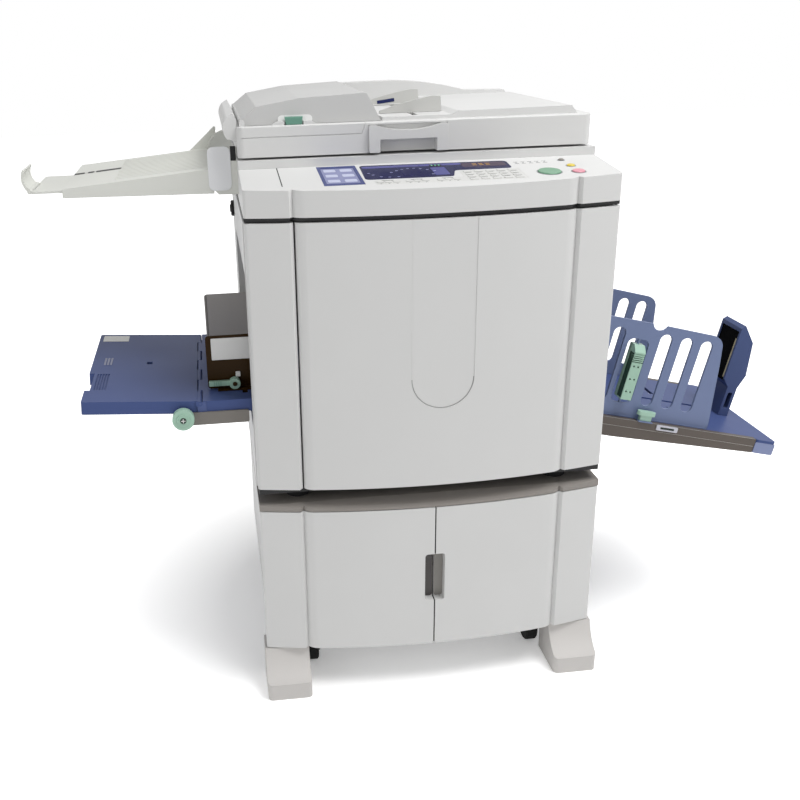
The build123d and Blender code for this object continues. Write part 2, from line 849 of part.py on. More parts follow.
with BuildPart() as scanner_housing:
    with BuildSketch(Plane.YZ.offset(-housing_half)):
        with BuildLine():
            Polyline(
                (panel_back + part_gap, band_bottom),
                (panel_back + part_gap, panel_rear_top),
                (panel_rear + 1, panel_rear_top),
                (panel_rear + 1, housing_top),
                (housing_rear, housing_top),
                (housing_rear, band_bottom),
                close=True,
            )
        make_face()
    extrude(amount=2 * housing_half)
    with BuildSketch(Plane.XY.offset(bay_floor)):
        with Locations(((glass_left + glass_right) / 2, (panel_back + 10 + glass_far - 6) / 2)):
            Rectangle(glass_right - glass_left - 12, glass_far - 6 - panel_back - 10)
    extrude(amount=panel_rear_top - bay_floor, mode=Mode.SUBTRACT)
    with BuildSketch(Plane.XY.offset(panel_rear_top)):
        with Locations(((glass_left + glass_right) / 2, (glass_near + glass_far) / 2)):
            Rectangle(glass_right - glass_left - 12, glass_far - glass_near - 12)
    extrude(amount=housing_top - panel_rear_top, mode=Mode.SUBTRACT)
    with BuildSketch(Plane.XY.offset(housing_top - glass_thick)):
        with Locations(((glass_left + glass_right) / 2, (glass_near + glass_far) / 2)):
            Rectangle(glass_right - glass_left + 2 * window_fit, glass_far - glass_near + 2 * window_fit)
    extrude(amount=glass_thick, mode=Mode.SUBTRACT)
scanner_housing.part.label = "scanner_housing"
export_step(scanner_housing.part, "parts/scanner_housing.step")

with BuildPart() as platen_glass:
    with BuildSketch(Plane.XY.offset(housing_top - glass_thick)):
        with Locations(((glass_left + glass_right) / 2, (glass_near + glass_far) / 2)):
            Rectangle(glass_right - glass_left, glass_far - glass_near)
    extrude(amount=glass_thick)
platen_glass.part.label = "platen_glass"
export_step(platen_glass.part, "parts/platen_glass.step")

# Scanning carriage: bar that runs along the bay below the glass
carriage_width = 40

with BuildPart() as scan_carriage:
    with BuildSketch(Plane.XY.offset(bay_floor + part_gap)):
        with Locations((glass_left + 12 + carriage_width / 2, (panel_back + 12 + glass_far - 8) / 2)):
            Rectangle(carriage_width, glass_far - 8 - panel_back - 12)
    extrude(amount=38)
    with BuildSketch(Plane.XY.offset(bay_floor + part_gap + 30)):
        with Locations((glass_left + 12 + carriage_width / 2, (panel_back + 12 + glass_far - 8) / 2)):
            Rectangle(8, glass_far - panel_back - 40)
    extrude(amount=10, mode=Mode.SUBTRACT)
scan_carriage.part.label = "scan_carriage"
export_step(scan_carriage.part, "parts/scan_carriage.step")

# Lid hinges: two blocks behind the housing with a pin through each lid knuckle
hinge_y = front + 604
hinge_z = lid_bottom + 5
hinge_span = 212
hinge_pin = 4
knuckle_half = 7

with BuildPart() as lid_hinges:
    for side in (-1, 1):
        for cheek in (-1, 1):
            start = side * hinge_span + cheek * (knuckle_half + part_gap)
            with BuildSketch(Plane.YZ.offset(start)):
                with BuildLine():
                    Polyline(
                        (housing_rear, hinge_z - 34),
                        (housing_rear, hinge_z - 12),
                        (hinge_y - 8, hinge_z),
                        (hinge_y + 8, hinge_z),
                        (hinge_y + 8, hinge_z - 34),
                        close=True,
                    )
                make_face()
                with Locations((hinge_y, hinge_z)):
                    Circle(8)
            extrude(amount=cheek * 12)
        with BuildSketch(Plane.YZ.offset(side * hinge_span - knuckle_half - 6)):
            with Locations((hinge_y, hinge_z)):
                Circle(hinge_pin)
        extrude(amount=2 * knuckle_half + 12)
        with BuildSketch(Plane.YZ.offset(side * hinge_span - knuckle_half - 12)):
            with Locations(((housing_rear + hinge_y + 8) / 2, hinge_z - 28)):
                Rectangle(hinge_y + 8 - housing_rear, 12)
        extrude(amount=2 * knuckle_half + 24)
lid_hinges.part.label = "lid_hinges"
export_step(lid_hinges.part, "parts/lid_hinges.step")

# Document lid with the feeder's base, document table, rear wall and exit cap
lid_left = 1 - housing_half
lid_right = housing_half - 7
lid_front = front + 147
lid_rear = front + 594
handle_left = -92
handle_right = 52
handle_deep = 24
hood_left = lid_left + 5
hood_right = hood_left + 255
hood_front = front + 160
hood_rear = front + 556
hood_pivot_x = lid_left + 10
release_x = hood_left + 97
fin_x = hood_right + 67
hood_pivot_z = lid_top + 6
hood_pin = 2.5
table_top = lid_top + 6
guide_slot = 10

with BuildPart() as scanner_lid:
    with BuildSketch(Plane.XY.offset(lid_bottom)):
        with Locations(((lid_left + lid_right) / 2, (lid_front + lid_rear) / 2)):
            Rectangle(lid_right - lid_left, lid_rear - lid_front)
    extrude(amount=lid_top - lid_bottom)
    fillet(scanner_lid.edges().filter_by(Axis.Z).group_by(Axis.Y)[0], radius=12)
    chamfer(scanner_lid.faces().sort_by(Axis.Z)[-1].edges(), length=2)
    # White pad that presses the original on the glass
    with BuildSketch(Plane.XY.offset(housing_top + part_gap)):
        with Locations(((glass_left + glass_right) / 2, (glass_near + glass_far) / 2)):
            Rectangle(glass_right - glass_left - 10, glass_far - glass_near - 10)
    extrude(amount=lid_bottom - housing_top)
    # Notch for the front handle
    with BuildSketch(Plane.XZ.offset(-lid_front)):
        with Locations(((handle_left + handle_right) / 2, lid_bottom + 24)):
            Rectangle(handle_right - handle_left + 2 * window_fit, 50)
    extrude(amount=-handle_deep, mode=Mode.SUBTRACT)
    # Joint between the lid's lower and upper mouldings at the feeder
    with BuildSketch(Plane.XZ.offset(-lid_front)):
        with BuildLine():
            Polyline(
                (lid_left + 1, lid_top - 20),
                (hood_right - 37, lid_top - 20),
                (hood_right - 29, lid_top + 1),
                (hood_right - 30.2, lid_top + 1),
                (hood_right - 38, lid_top - 18.8),
                (lid_left + 1, lid_top - 18.8),
                close=True,
            )
        make_face()
    extrude(amount=-1.2, mode=Mode.SUBTRACT)
    # Document table, sunk between the width guides and rising to the right
    with BuildSketch(Plane.XZ.offset(-(lid_front + 18))):
        with BuildLine():
            Polyline(
                (hood_right + 3, lid_top - 2),
                (hood_right + 3, table_top),
                (fin_x + 64, table_top),
                (fin_x + 76, table_top + 6),
                (lid_right - 33, table_top + 8),
                (lid_right - 21, lid_top - 2),
                close=True,
            )
        make_face()
    extrude(amount=-(hood_rear + 1 - lid_front - 18))
    with BuildSketch(Plane.XY.offset(table_top - 4)):
        with Locations((fin_x, front + 337)):
            Rectangle(guide_slot, 306)
    extrude(amount=6, mode=Mode.SUBTRACT)
    # Rear wall, high at the feeder and falling to the right
    with BuildSketch(Plane.XZ.offset(-(hood_rear + 1))):
        with BuildLine():
            Polyline((hood_right - 29, lid_top - 2), (hood_right - 29, lid_top + 45), (30, lid_top + 46))
            ThreePointArc((30, lid_top + 46), (112, lid_top + 38), (lid_right - 131, lid_top + 21))
            Polyline(
                (lid_right - 131, lid_top + 21),
                (lid_right - 45, lid_top + 19),
                (lid_right - 31, lid_top - 2),
                (hood_right - 29, lid_top - 2),
            )
        make_face()
    extrude(amount=-(lid_rear - hood_rear - 4))
    # Exit cap at the left end of the feeder
    with BuildSketch(Plane.XZ.offset(-(hood_front + 6))):
        with BuildLine():
            Polyline((lid_left + 1, lid_top - 28), (lid_left - 17, lid_top - 22))
            ThreePointArc(
                (lid_left - 17, lid_top - 22),
                (lid_left - 24, lid_top - 2),
                (lid_left - 16, lid_top + 16),
            )
            Polyline(
                (lid_left - 16, lid_top + 16),
                (lid_left - 5, lid_top + 22),
                (lid_left + 1, lid_top + 10),
                (lid_left + 1, lid_top - 28),
            )
        make_face()
    extrude(amount=-(hood_rear - hood_front - 40))
    # Pivots of the hood: a lug and pin at the front and at the rear
    for near, out in ((hood_front - 6 - part_gap, 1), (hood_rear + 6 + part_gap, -1)):
        with BuildSketch(Plane.XZ.offset(-near)):
            with Locations((hood_pivot_x, hood_pivot_z)):
                Circle(5)
            with Locations((hood_pivot_x, (lid_top - 2 + hood_pivot_z) / 2)):
                Rectangle(10, hood_pivot_z - lid_top + 2)
        extrude(amount=-out * 6)
        with BuildSketch(Plane.XZ.offset(-near)):
            with Locations((hood_pivot_x, hood_pivot_z)):
                Circle(hood_pin)
        extrude(amount=-out * 14)
    # Raised seat on either side of the hood's release
    for side in (-1, 1):
        with BuildSketch(Plane.XZ.offset(-(hood_front - 10))):
            with BuildLine():
                Polyline(
                    (release_x + side * 43, lid_top - 1),
                    (release_x + side * 31, lid_top + 6),
                    (release_x + side * 17, lid_top + 7),
                    (release_x + side * 17, lid_top - 1),
                    close=True,
                )
            make_face()
        extrude(amount=-9)
    # Knuckles round the hinge pins
    for side in (-1, 1):
        with BuildSketch(Plane.YZ.offset(side * hinge_span - knuckle_half)):
            with BuildLine():
                Polyline(
                    (lid_rear - 3, hinge_z - 4),
                    (lid_rear - 3, hinge_z + 22),
                    (hinge_y + 4, hinge_z + 6),
                    (hinge_y, hinge_z - 7),
                    close=True,
                )
            make_face()
            with Locations((hinge_y, hinge_z)):
                Circle(8)
                Circle(hinge_pin + running_fit, mode=Mode.SUBTRACT)
        extrude(amount=2 * knuckle_half)
scanner_lid.part.label = "scanner_lid"
export_step(scanner_lid.part, "parts/scanner_lid.step")

handle_top = lid_bottom + 48.4

with BuildPart() as lid_handle:
    with BuildSketch(Plane.XZ.offset(-(lid_front - 6))):
        with Locations(((handle_left + handle_right) / 2, lid_bottom + 24.4)):
            RectangleRounded(handle_right - handle_left, 48, 3)
    extrude(amount=-(handle_deep + 6))
    # Finger recess, open at the front and below
    with BuildSketch(Plane.XZ.offset(-(lid_front - 6))):
        with Locations(((handle_left + handle_right) / 2, lid_bottom + 10)):
            Rectangle(handle_right - handle_left - 40, 26)
    extrude(amount=-20, mode=Mode.SUBTRACT)
    # Upper edge scooped out to welcome the hand
    with BuildSketch(Plane.XZ.offset(-(lid_front - 6))):
        with BuildLine():
            scoop = ThreePointArc(
                (handle_left + 10, handle_top + 1),
                ((handle_left + handle_right) / 2, handle_top - 10),
                (handle_right - 10, handle_top + 1),
            )
            Line(scoop @ 1, scoop @ 0)
        make_face()
    extrude(amount=-11, mode=Mode.SUBTRACT)
lid_handle.part.label = "lid_handle"
export_step(lid_handle.part, "parts/lid_handle.step")

# Feeder hood: thin moulded shell that lifts from its left edge
hood_base = lid_top + part_gap


def hood_line(inset):
    """Section of the hood across the machine."""
    Polyline(
        (hood_left + 5 + 1.4 * inset, hood_base),
        (hood_left + 1 + 2 * inset, hood_base + 8),
        (hood_left + 32 + 0.6 * inset, hood_base + 31.6 - inset),
        (hood_left + 110, hood_base + 43.6 - inset),
        (hood_right - 25 - inset, hood_base + 48.6 - inset),
        (hood_right - 2 * inset, hood_base),
        close=True,
    )


with BuildPart() as feeder_hood:
    with BuildSketch(Plane.XZ.offset(-hood_front)):
        with BuildLine():
            hood_line(0)
        make_face()
        with Locations((hood_pivot_x, hood_pivot_z)):
            Circle(5)
    extrude(amount=-(hood_rear - hood_front))
    fillet(feeder_hood.edges().filter_by(Axis.Y).sort_by(Axis.Z)[-3:], radius=5)
    with BuildSketch(Plane.XZ.offset(-(hood_front + 10))):
        with BuildLine():
            hood_line(5)
        make_face()
    extrude(amount=-(hood_rear - hood_front - 20), mode=Mode.SUBTRACT)
    # The front face leans back towards its top edge
    lean = Plane(origin=(0, hood_front, hood_base), x_dir=(1, 0, 0), z_dir=(0, -1, 0.12))
    split(bisect_by=lean, keep=Keep.BOTTOM)
    with BuildSketch(Plane.XZ.offset(-(hood_front - 1))):
        with Locations((hood_pivot_x, hood_pivot_z)):
            Circle(hood_pin + running_fit)
    extrude(amount=-10.5, mode=Mode.SUBTRACT)
    with BuildSketch(Plane.XZ.offset(-(hood_rear + 1))):
        with Locations((hood_pivot_x, hood_pivot_z)):
            Circle(hood_pin + running_fit)
    extrude(amount=10.5, mode=Mode.SUBTRACT)
feeder_hood.part.label = "feeder_hood"
export_step(feeder_hood.part, "parts/feeder_hood.step")

with BuildPart() as hood_release:
    with BuildSketch(Plane.XZ.offset(-(hood_front - 10))):
        with BuildLine():
            Polyline(
                (release_x - 14, lid_top + part_gap),
                (release_x - 16, lid_top + 14),
                (release_x + 16, lid_top + 14),
                (release_x + 14, lid_top + part_gap),
                close=True,
            )
        make_face()
    extrude(amount=-8)
    fillet(hood_release.edges().filter_by(Axis.X).group_by(Axis.Z)[-1], radius=2)
hood_release.part.label = "hood_release"
export_step(hood_release.part, "parts/hood_release.step")

# Width guides of the document table, mirror images about the table's middle
table_middle = front + 337
guide_spread = 100
guide_wall = 4


def document_guide(out):
    """Curved fin on a foot, with a tongue in the table's slot."""
    near = table_middle + out * guide_spread
    with BuildPart() as guide:
        with BuildSketch(Plane.XZ.offset(-near)):
            with BuildLine():
                Polyline(
                    (fin_x - 58, table_top + part_gap),
                    (fin_x + 60, table_top + part_gap),
                    (fin_x + 58, table_top + 28),
                    (fin_x + 44, table_top + 29),
                )
                ThreePointArc(
                    (fin_x + 44, table_top + 29),
                    (fin_x - 8, table_top + 19),
                    (fin_x - 58, table_top + 5),
                )
                Line((fin_x - 58, table_top + 5), (fin_x - 58, table_top + part_gap))
            make_face()
        extrude(amount=-out * guide_wall)
        with BuildSketch(Plane.XY.offset(table_top + part_gap)):
            with Locations((fin_x, near - out * 9)):
                Rectangle(84, 18)
        extrude(amount=1.6)
        with BuildSketch(Plane.XY.offset(table_top - 3.4)):
            with Locations((fin_x, near - out * 6)):
                Rectangle(guide_slot - 2 * part_gap, 24)
        extrude(amount=3.4 + 1)
    return guide


for name, out in (("document_guide_front", -1), ("document_guide_rear", 1)):
    guide = document_guide(out)
    guide.part.label = name
    export_step(guide.part, f"parts/{name}.step")

# Tray for the fed originals, hung on the housing's left side
tray_inner_x = -housing_half
tray_outer_x = tray_inner_x - 318
tray_root = tray_inner_x - 44
tray_near = front + 195
tray_far = front + 535
tray_inner_z = band_top + 14
tray_outer_z = band_top - 11
tray_wall = 3
tray_foot = band_bottom + 11
rib_count = 14
rib_start = tray_root - 184
rib_pitch = 20


def tray_level(x):
    """Height of the original tray's deck at x."""
    return tray_outer_z + (tray_inner_z - tray_outer_z) * (x - tray_outer_x) / (tray_root - tray_outer_x)


with BuildPart() as original_tray:
    with BuildSketch(Plane.XZ.offset(-tray_near)):
        with BuildLine():
            Polyline(
                (tray_outer_x, tray_outer_z - 5),
                (tray_outer_x, tray_outer_z),
                (tray_root, tray_inner_z),
                (tray_root, tray_inner_z - 5),
                close=True,
            )
        make_face()
    extrude(amount=-(tray_far - tray_near))
    # Wedge-shaped skirts under the deck's front and rear edges
    for near in (tray_near, tray_far - tray_wall):
        with BuildSketch(Plane.XZ.offset(-near)):
            with BuildLine():
                Polyline(
                    (tray_outer_x, tray_outer_z - 16),
                    (tray_outer_x, tray_outer_z - 2),
                    (tray_root, tray_inner_z - 2),
                    (tray_root, tray_foot + 3),
                    close=True,
                )
            make_face()
        extrude(amount=-tray_wall)
    # Brackets that carry the tray on the machine's side
    for near in (tray_near, tray_far - 28):
        with BuildSketch(Plane.XZ.offset(-near)):
            with BuildLine():
                Polyline((tray_inner_x, tray_foot), (tray_root + 8, tray_foot + 1))
                ThreePointArc(
                    (tray_root + 8, tray_foot + 1),
                    (tray_root - 6, tray_foot + 22),
                    (tray_root - 6, tray_foot + 53),
                )
                ThreePointArc(
                    (tray_root - 6, tray_foot + 53),
                    (tray_root + 9, tray_foot + 76),
                    (tray_inner_x, tray_foot + 83),
                )
                Line((tray_inner_x, tray_foot + 83), (tray_inner_x, tray_foot))
            make_face()
        extrude(amount=-28)
    # Side wing at the rear of the deck
    with BuildSketch(Plane.XZ.offset(-(tray_far - tray_wall))):
        with BuildLine():
            Polyline(
                (tray_root - 48, tray_level(tray_root - 48) - 2),
                (tray_root + 9, tray_foot + 92),
                (tray_root + 12, tray_foot + 90),
                (tray_root + 12, tray_inner_z - 2),
                close=True,
            )
        make_face()
    extrude(amount=-tray_wall)
    # Shallow ribs that keep a sheet from clinging
    for row in range(rib_count):
        with BuildSketch(Plane.XZ.offset(-(tray_near + 38 + rib_pitch * row))):
            with BuildLine():
                Polyline(
                    (rib_start, tray_level(rib_start) - 1),
                    (rib_start + 4, tray_level(rib_start + 4) + 1),
                    (tray_root - 10, tray_level(tray_root - 10) + 1),
                    (tray_root - 10, tray_level(tray_root - 10) - 1),
                    close=True,
                )
            make_face()
        extrude(amount=-2)
    # Slot for the extension's catch
    with BuildSketch(Plane.XY.offset(tray_outer_z - 10)):
        with Locations((tray_outer_x + 54, (tray_near + tray_far) / 2 + 20)):
            SlotOverall(76, 7)
    extrude(amount=30, mode=Mode.SUBTRACT)
original_tray.part.label = "original_tray"
export_step(original_tray.part, "parts/original_tray.step")

# Extension that draws out from under the deck, with its folding stopper
extension_out = tray_outer_x - 60
extension_in = tray_outer_x + 86
extension_near = front + 216
extension_far = front + 420
extension_top = tray_outer_z - 5 - part_gap
stopper_half = 46
stopper_middle = front + 282
stopper_pin = 2

with BuildPart() as tray_extension:
    with BuildSketch(Plane.XY.offset(extension_top - 4)):
        with Locations(((extension_out + extension_in) / 2, (extension_near + extension_far) / 2)):
            Rectangle(extension_in - extension_out, extension_far - extension_near)
    extrude(amount=4)
    fillet(tray_extension.edges().filter_by(Axis.Z).group_by(Axis.X)[0], radius=8)
    # Room for the stopper to fold between its lugs
    with BuildSketch(Plane.XY.offset(extension_top - 4)):
        with Locations((extension_out, stopper_middle)):
            Rectangle(8, 2 * (stopper_half + part_gap))
    extrude(amount=4, mode=Mode.SUBTRACT)
    # Lugs on either side of the stopper and the pin that joins them
    for side in (-1, 1):
        with BuildSketch(Plane.XZ.offset(-(stopper_middle + side * (stopper_half + part_gap)))):
            with Locations((extension_out - 4, extension_top - 2)):
                Circle(4)
            with Locations((extension_out, extension_top - 2)):
                Rectangle(12, 4)
        extrude(amount=-side * 5)
    with BuildSketch(Plane.XZ.offset(-(stopper_middle - stopper_half - 3))):
        with Locations((extension_out - 4, extension_top - 2)):
            Circle(stopper_pin)
    extrude(amount=-(2 * stopper_half + 6))
tray_extension.part.label = "tray_extension"
export_step(tray_extension.part, "parts/tray_extension.step")

with BuildPart() as tray_stopper:
    with BuildSketch(Plane.XZ.offset(-(stopper_middle - stopper_half))):
        with BuildLine():
            ThreePointArc(
                (extension_out - 8, extension_top - 2),
                (extension_out - 17, extension_top + 18),
                (extension_out - 13, extension_top + 37),
            )
            Line((extension_out - 13, extension_top + 37), (extension_out - 9, extension_top + 36))
            ThreePointArc(
                (extension_out - 9, extension_top + 36),
                (extension_out - 13, extension_top + 18),
                (extension_out - 4, extension_top + 2),
            )
            Line((extension_out - 4, extension_top + 2), (extension_out - 8, extension_top - 2))
        make_face()
        with Locations((extension_out - 4, extension_top - 2)):
            Circle(3.9)
            Circle(stopper_pin + running_fit, mode=Mode.SUBTRACT)
    extrude(amount=-2 * stopper_half)
tray_stopper.part.label = "tray_stopper"
export_step(tray_stopper.part, "parts/tray_stopper.step")

# Feed tray: an elevator deck and an outer leaf that folds up
feed_top = base_top + 171
feed_thick = 24
feed_near = front + 40
feed_far = front + 458
fold_x = -94 - body_half
fold_pin = 2
fold_barrel = 4.4
fold_z = feed_top - fold_barrel
fold_gap = 0.3
leaf_near = feed_near + 1.5
fold_pitch = 60
leaf_tilt = 3.5
leaf_length = 213
deck_left = fold_x + 5
deck_right = frame_left - 11
guide_half = 150
guide_left = fold_x + 16
guide_right = fold_x + 162
guide_height = 103
tongue_x = fold_x + 84

knuckle_starts = [feed_near - 1 + fold_pitch * step for step in range(7)]

with BuildPart() as feed_deck:
    with BuildSketch(Plane.XY.offset(feed_top - feed_thick)):
        with Locations(((deck_left + deck_right) / 2, (feed_near + feed_far) / 2)):
            Rectangle(deck_right - deck_left, feed_far - feed_near)
    extrude(amount=feed_thick)
    with BuildSketch(Plane.XY.offset(feed_top - feed_thick)):
        with Locations(((deck_left + deck_right) / 2, (feed_near + feed_far) / 2)):
            Rectangle(deck_right - deck_left - 12, feed_far - feed_near - 12)
    extrude(amount=feed_thick - 5, mode=Mode.SUBTRACT)
    # Slots in which the guides' tongues slide
    for side in (-1, 1):
        with BuildSketch(Plane.XY.offset(feed_top - 6)):
            with Locations((tongue_x, paper_middle + side * 108)):
                Rectangle(guide_slot, 150)
        extrude(amount=7, mode=Mode.SUBTRACT)
    # Runners that follow the cross wall as the deck rises
    for side in (-1, 1):
        with BuildSketch(Plane.XY.offset(feed_top - feed_thick)):
            with Locations(((deck_right - 2 + frame_left - part_gap) / 2, paper_middle + side * 120)):
                Rectangle(frame_left - part_gap - deck_right + 2, 20)
        extrude(amount=feed_thick - 2)
    # Every second knuckle of the leaf's hinge, and its full-length pin
    for low in knuckle_starts[1::2]:
        with BuildSketch(Plane.XZ.offset(-low - fold_gap)):
            with Locations((fold_x, fold_z)):
                Circle(fold_barrel)
            with Locations((fold_x + 4, fold_z)):
                Rectangle(8, 2 * fold_barrel)
        extrude(amount=-(fold_pitch - 2 * fold_gap))
    # Lip under the hinge that closes the joint from below
    with BuildSketch(Plane.XZ.offset(-leaf_near)):
        with Locations(((fold_x - fold_barrel + deck_left + 1) / 2, fold_z - 10)):
            Rectangle(deck_left + 1 - fold_x + fold_barrel, 4)
    extrude(amount=-(feed_far - leaf_near))
    with BuildSketch(Plane.XZ.offset(-knuckle_starts[0] - 1)):
        with Locations((fold_x, fold_z)):
            Circle(fold_pin)
    extrude(amount=-(fold_pitch * len(knuckle_starts) - 2))
feed_deck.part.label = "feed_deck"
export_step(feed_deck.part, "parts/feed_deck.step")

leaf_plane = Plane(
    origin=(fold_x, 0, fold_z),
    x_dir=(cos(radians(leaf_tilt)), 0, -sin(radians(leaf_tilt))),
    z_dir=(sin(radians(leaf_tilt)), 0, cos(radians(leaf_tilt))),
)
leaf_start = 5
leaf_top = fold_barrel

with BuildPart() as feed_leaf:
    with BuildSketch(leaf_plane.offset(leaf_top - feed_thick)):
        with Locations((-(leaf_length + leaf_start) / 2, (leaf_near + feed_far) / 2)):
            Rectangle(leaf_length - leaf_start, feed_far - leaf_near)
    extrude(amount=feed_thick)
    fillet(feed_leaf.edges().filter_by(Axis((0, 0, 0), leaf_plane.z_dir)).group_by(Axis.X)[0], radius=5)
    with BuildSketch(leaf_plane.offset(leaf_top - feed_thick)):
        with Locations((-(leaf_length + leaf_start) / 2 + 17, (leaf_near + feed_far) / 2)):
            Rectangle(leaf_length - leaf_start - 46, feed_far - leaf_near - 12)
    extrude(amount=feed_thick - 6, mode=Mode.SUBTRACT)
    # Finger notch in the outer end, ribbed grip behind it and a square hole
    with BuildSketch(leaf_plane.offset(-feed_thick)):
        with Locations((-leaf_length, feed_near + 112)):
            Rectangle(20, 96)
    extrude(amount=2 * feed_thick, mode=Mode.SUBTRACT)
    with BuildSketch(leaf_plane.offset(leaf_top - 2)):
        with Locations((-leaf_length + 28, feed_near + 112)):
            with GridLocations(5, 0, 5, 1):
                Rectangle(3, 90)
    extrude(amount=4, mode=Mode.SUBTRACT)
    with BuildSketch(leaf_plane.offset(-feed_thick)):
        with Locations((-100, feed_near + 222)):
            Rectangle(11, 14)
    extrude(amount=2 * feed_thick, mode=Mode.SUBTRACT)
    # The other knuckles, between the deck's
    for low in knuckle_starts[0::2]:
        with BuildSketch(Plane.XZ.offset(-low - fold_gap)):
            with Locations((fold_x, fold_z)):
                Circle(fold_barrel)
            with Locations((fold_x - 4, fold_z)):
                Rectangle(8, 2 * fold_barrel)
            with Locations((fold_x, fold_z)):
                Circle(fold_pin + running_fit, mode=Mode.SUBTRACT)
        extrude(amount=-(fold_pitch - 2 * fold_gap))
feed_leaf.part.label = "feed_leaf"
export_step(feed_leaf.part, "parts/feed_leaf.step")

# Paper guides of the feed tray: bent sheet metal standing on the deck
sheet = 2
lever_x = fold_x + 66
lever_z = feed_top + 13
lever_pin = 4


def feed_guide(out):
    """Upright fence with a foot and a tongue; the front one also carries the lock's stud."""
    face = paper_middle + out * guide_half
    with BuildPart() as guide:
        with BuildSketch(Plane.XZ.offset(-face)):
            with Locations(((guide_left + guide_right) / 2, feed_top + part_gap + guide_height / 2)):
                RectangleRounded(guide_right - guide_left, guide_height, 6)
        extrude(amount=-out * sheet)
        with BuildSketch(Plane.XY.offset(feed_top + part_gap)):
            with Locations((tongue_x, face + out * 10)):
                Rectangle(100, 20)
        extrude(amount=sheet)
        with BuildSketch(Plane.XY.offset(feed_top - 5)):
            with Locations((tongue_x, face + out * 10)):
                Rectangle(guide_slot - 2 * part_gap, 20)
        extrude(amount=6)
        if out < 0:
            with BuildSketch(Plane.XZ.offset(-face)):
                with Locations((lever_x, lever_z)):
                    Circle(lever_pin)
            extrude(amount=21)
    return guide


for name, out in (("feed_guide_front", -1), ("feed_guide_rear", 1)):
    guide = feed_guide(out)
    guide.part.label = name
    export_step(guide.part, f"parts/{name}.step")

lever_face = paper_middle - guide_half - sheet - 4

with BuildPart() as guide_lock:
    with BuildSketch(Plane.XZ.offset(-lever_face)):
        with Locations((lever_x, lever_z)):
            Circle(10.4)
        with Locations((lever_x - 26, lever_z)):
            RectangleRounded(44, 9, 2)
    extrude(amount=8)
    with BuildSketch(Plane.XZ.offset(-lever_face + 8)):
        with Locations((lever_x, lever_z)):
            Circle(10.4)
    extrude(amount=5)
    with BuildSketch(Plane.XZ.offset(-lever_face)):
        with Locations((lever_x, lever_z)):
            Circle(lever_pin + running_fit)
    extrude(amount=20, mode=Mode.SUBTRACT)
guide_lock.part.label = "guide_lock"
export_step(guide_lock.part, "parts/guide_lock.step")

# Print-position dial on its metal arm under the tray's front edge
dial_x = fold_x - 32
arm_end = -6 - body_half
dial_z = feed_top - 28
dial_radius = 20
arm_near = feed_near - 4

with BuildPart() as dial_arm:
    with BuildSketch(Plane.XZ.offset(-arm_near)):
        with Locations(((dial_x - 14 + arm_end) / 2, dial_z - 4)):
            RectangleRounded(arm_end - dial_x + 14, 24, 4)
        with Locations((dial_x, dial_z)):
            Circle(lever_pin + running_fit, mode=Mode.SUBTRACT)
    extrude(amount=-4)
    with BuildSketch(Plane.XY.offset(feed_top - feed_thick - 3)):
        with Locations((fold_x + 48, feed_near + 14)):
            Rectangle(70, 30)
    extrude(amount=3)
dial_arm.part.label = "dial_arm"
export_step(dial_arm.part, "parts/dial_arm.step")

with BuildPart() as position_dial:
    with BuildSketch(Plane.XZ.offset(-(arm_near - part_gap))):
        with Locations((dial_x, dial_z)):
            RegularPolygon(dial_radius, 36)
    extrude(amount=12)
    with BuildSketch(Plane.XZ.offset(-(arm_near - part_gap - 12))):
        with Locations((dial_x, dial_z)):
            Circle(12)
    extrude(amount=1.5)
    with BuildSketch(Plane.XZ.offset(-(arm_near - part_gap))):
        with Locations((dial_x, dial_z)):
            Circle(lever_pin)
    extrude(amount=-4)
position_dial.part.label = "position_dial"
export_step(position_dial.part, "parts/position_dial.step")

# Receiving tray: metal frame sloping down from the right side, moulded deck on it
receive_slope = 13
receive_x = body_half + 2
receive_z = base_top + 68.5
receive = Plane(
    origin=(receive_x, 0, receive_z),
    x_dir=(cos(radians(receive_slope)), 0, -sin(radians(receive_slope))),
    z_dir=(sin(radians(receive_slope)), 0, cos(radians(receive_slope))),
)
receive_side = Plane(origin=(receive_x, 0, receive_z), x_dir=receive.x_dir, z_dir=(0, -1, 0))
rail_near = front + 85
rail_far = 2 * paper_middle - rail_near
rail_width = 14
rail_length = 366
rail_deep = 34
rail_toe = 24
deck_end = rail_length + 46
deck_thick = 5

with BuildPart() as receiving_frame:
    for near in (rail_near, rail_far - rail_width):
        with BuildSketch(receive_side.offset(-near)):
            with BuildLine():
                Polyline(
                    (0, deck_thick),
                    (rail_length, deck_thick),
                    (rail_length, -rail_toe),
                    (60, -rail_deep),
                    (rail_deep * tan(radians(receive_slope)), -rail_deep),
                    (0, 0),
                    close=True,
                )
            make_face()
        extrude(amount=-rail_width)
    for place in (80, rail_length - 30):
        with BuildSketch(receive.offset(-12)):
            with Locations((place, paper_middle)):
                Rectangle(24, rail_far - rail_near - 2)
        extrude(amount=12)
    # Flange that bolts to the machine's side under the opening
    with BuildSketch(Plane.YZ.offset(body_half)):
        with Locations((paper_middle, receive_z - rail_deep / 2 - 3)):
            Rectangle(rail_far - rail_near, rail_deep - 6)
    extrude(amount=receive_x - body_half + 1)
receiving_frame.part.label = "receiving_frame"
export_step(receiving_frame.part, "parts/receiving_frame.step")

fence_feet = (34, 232)

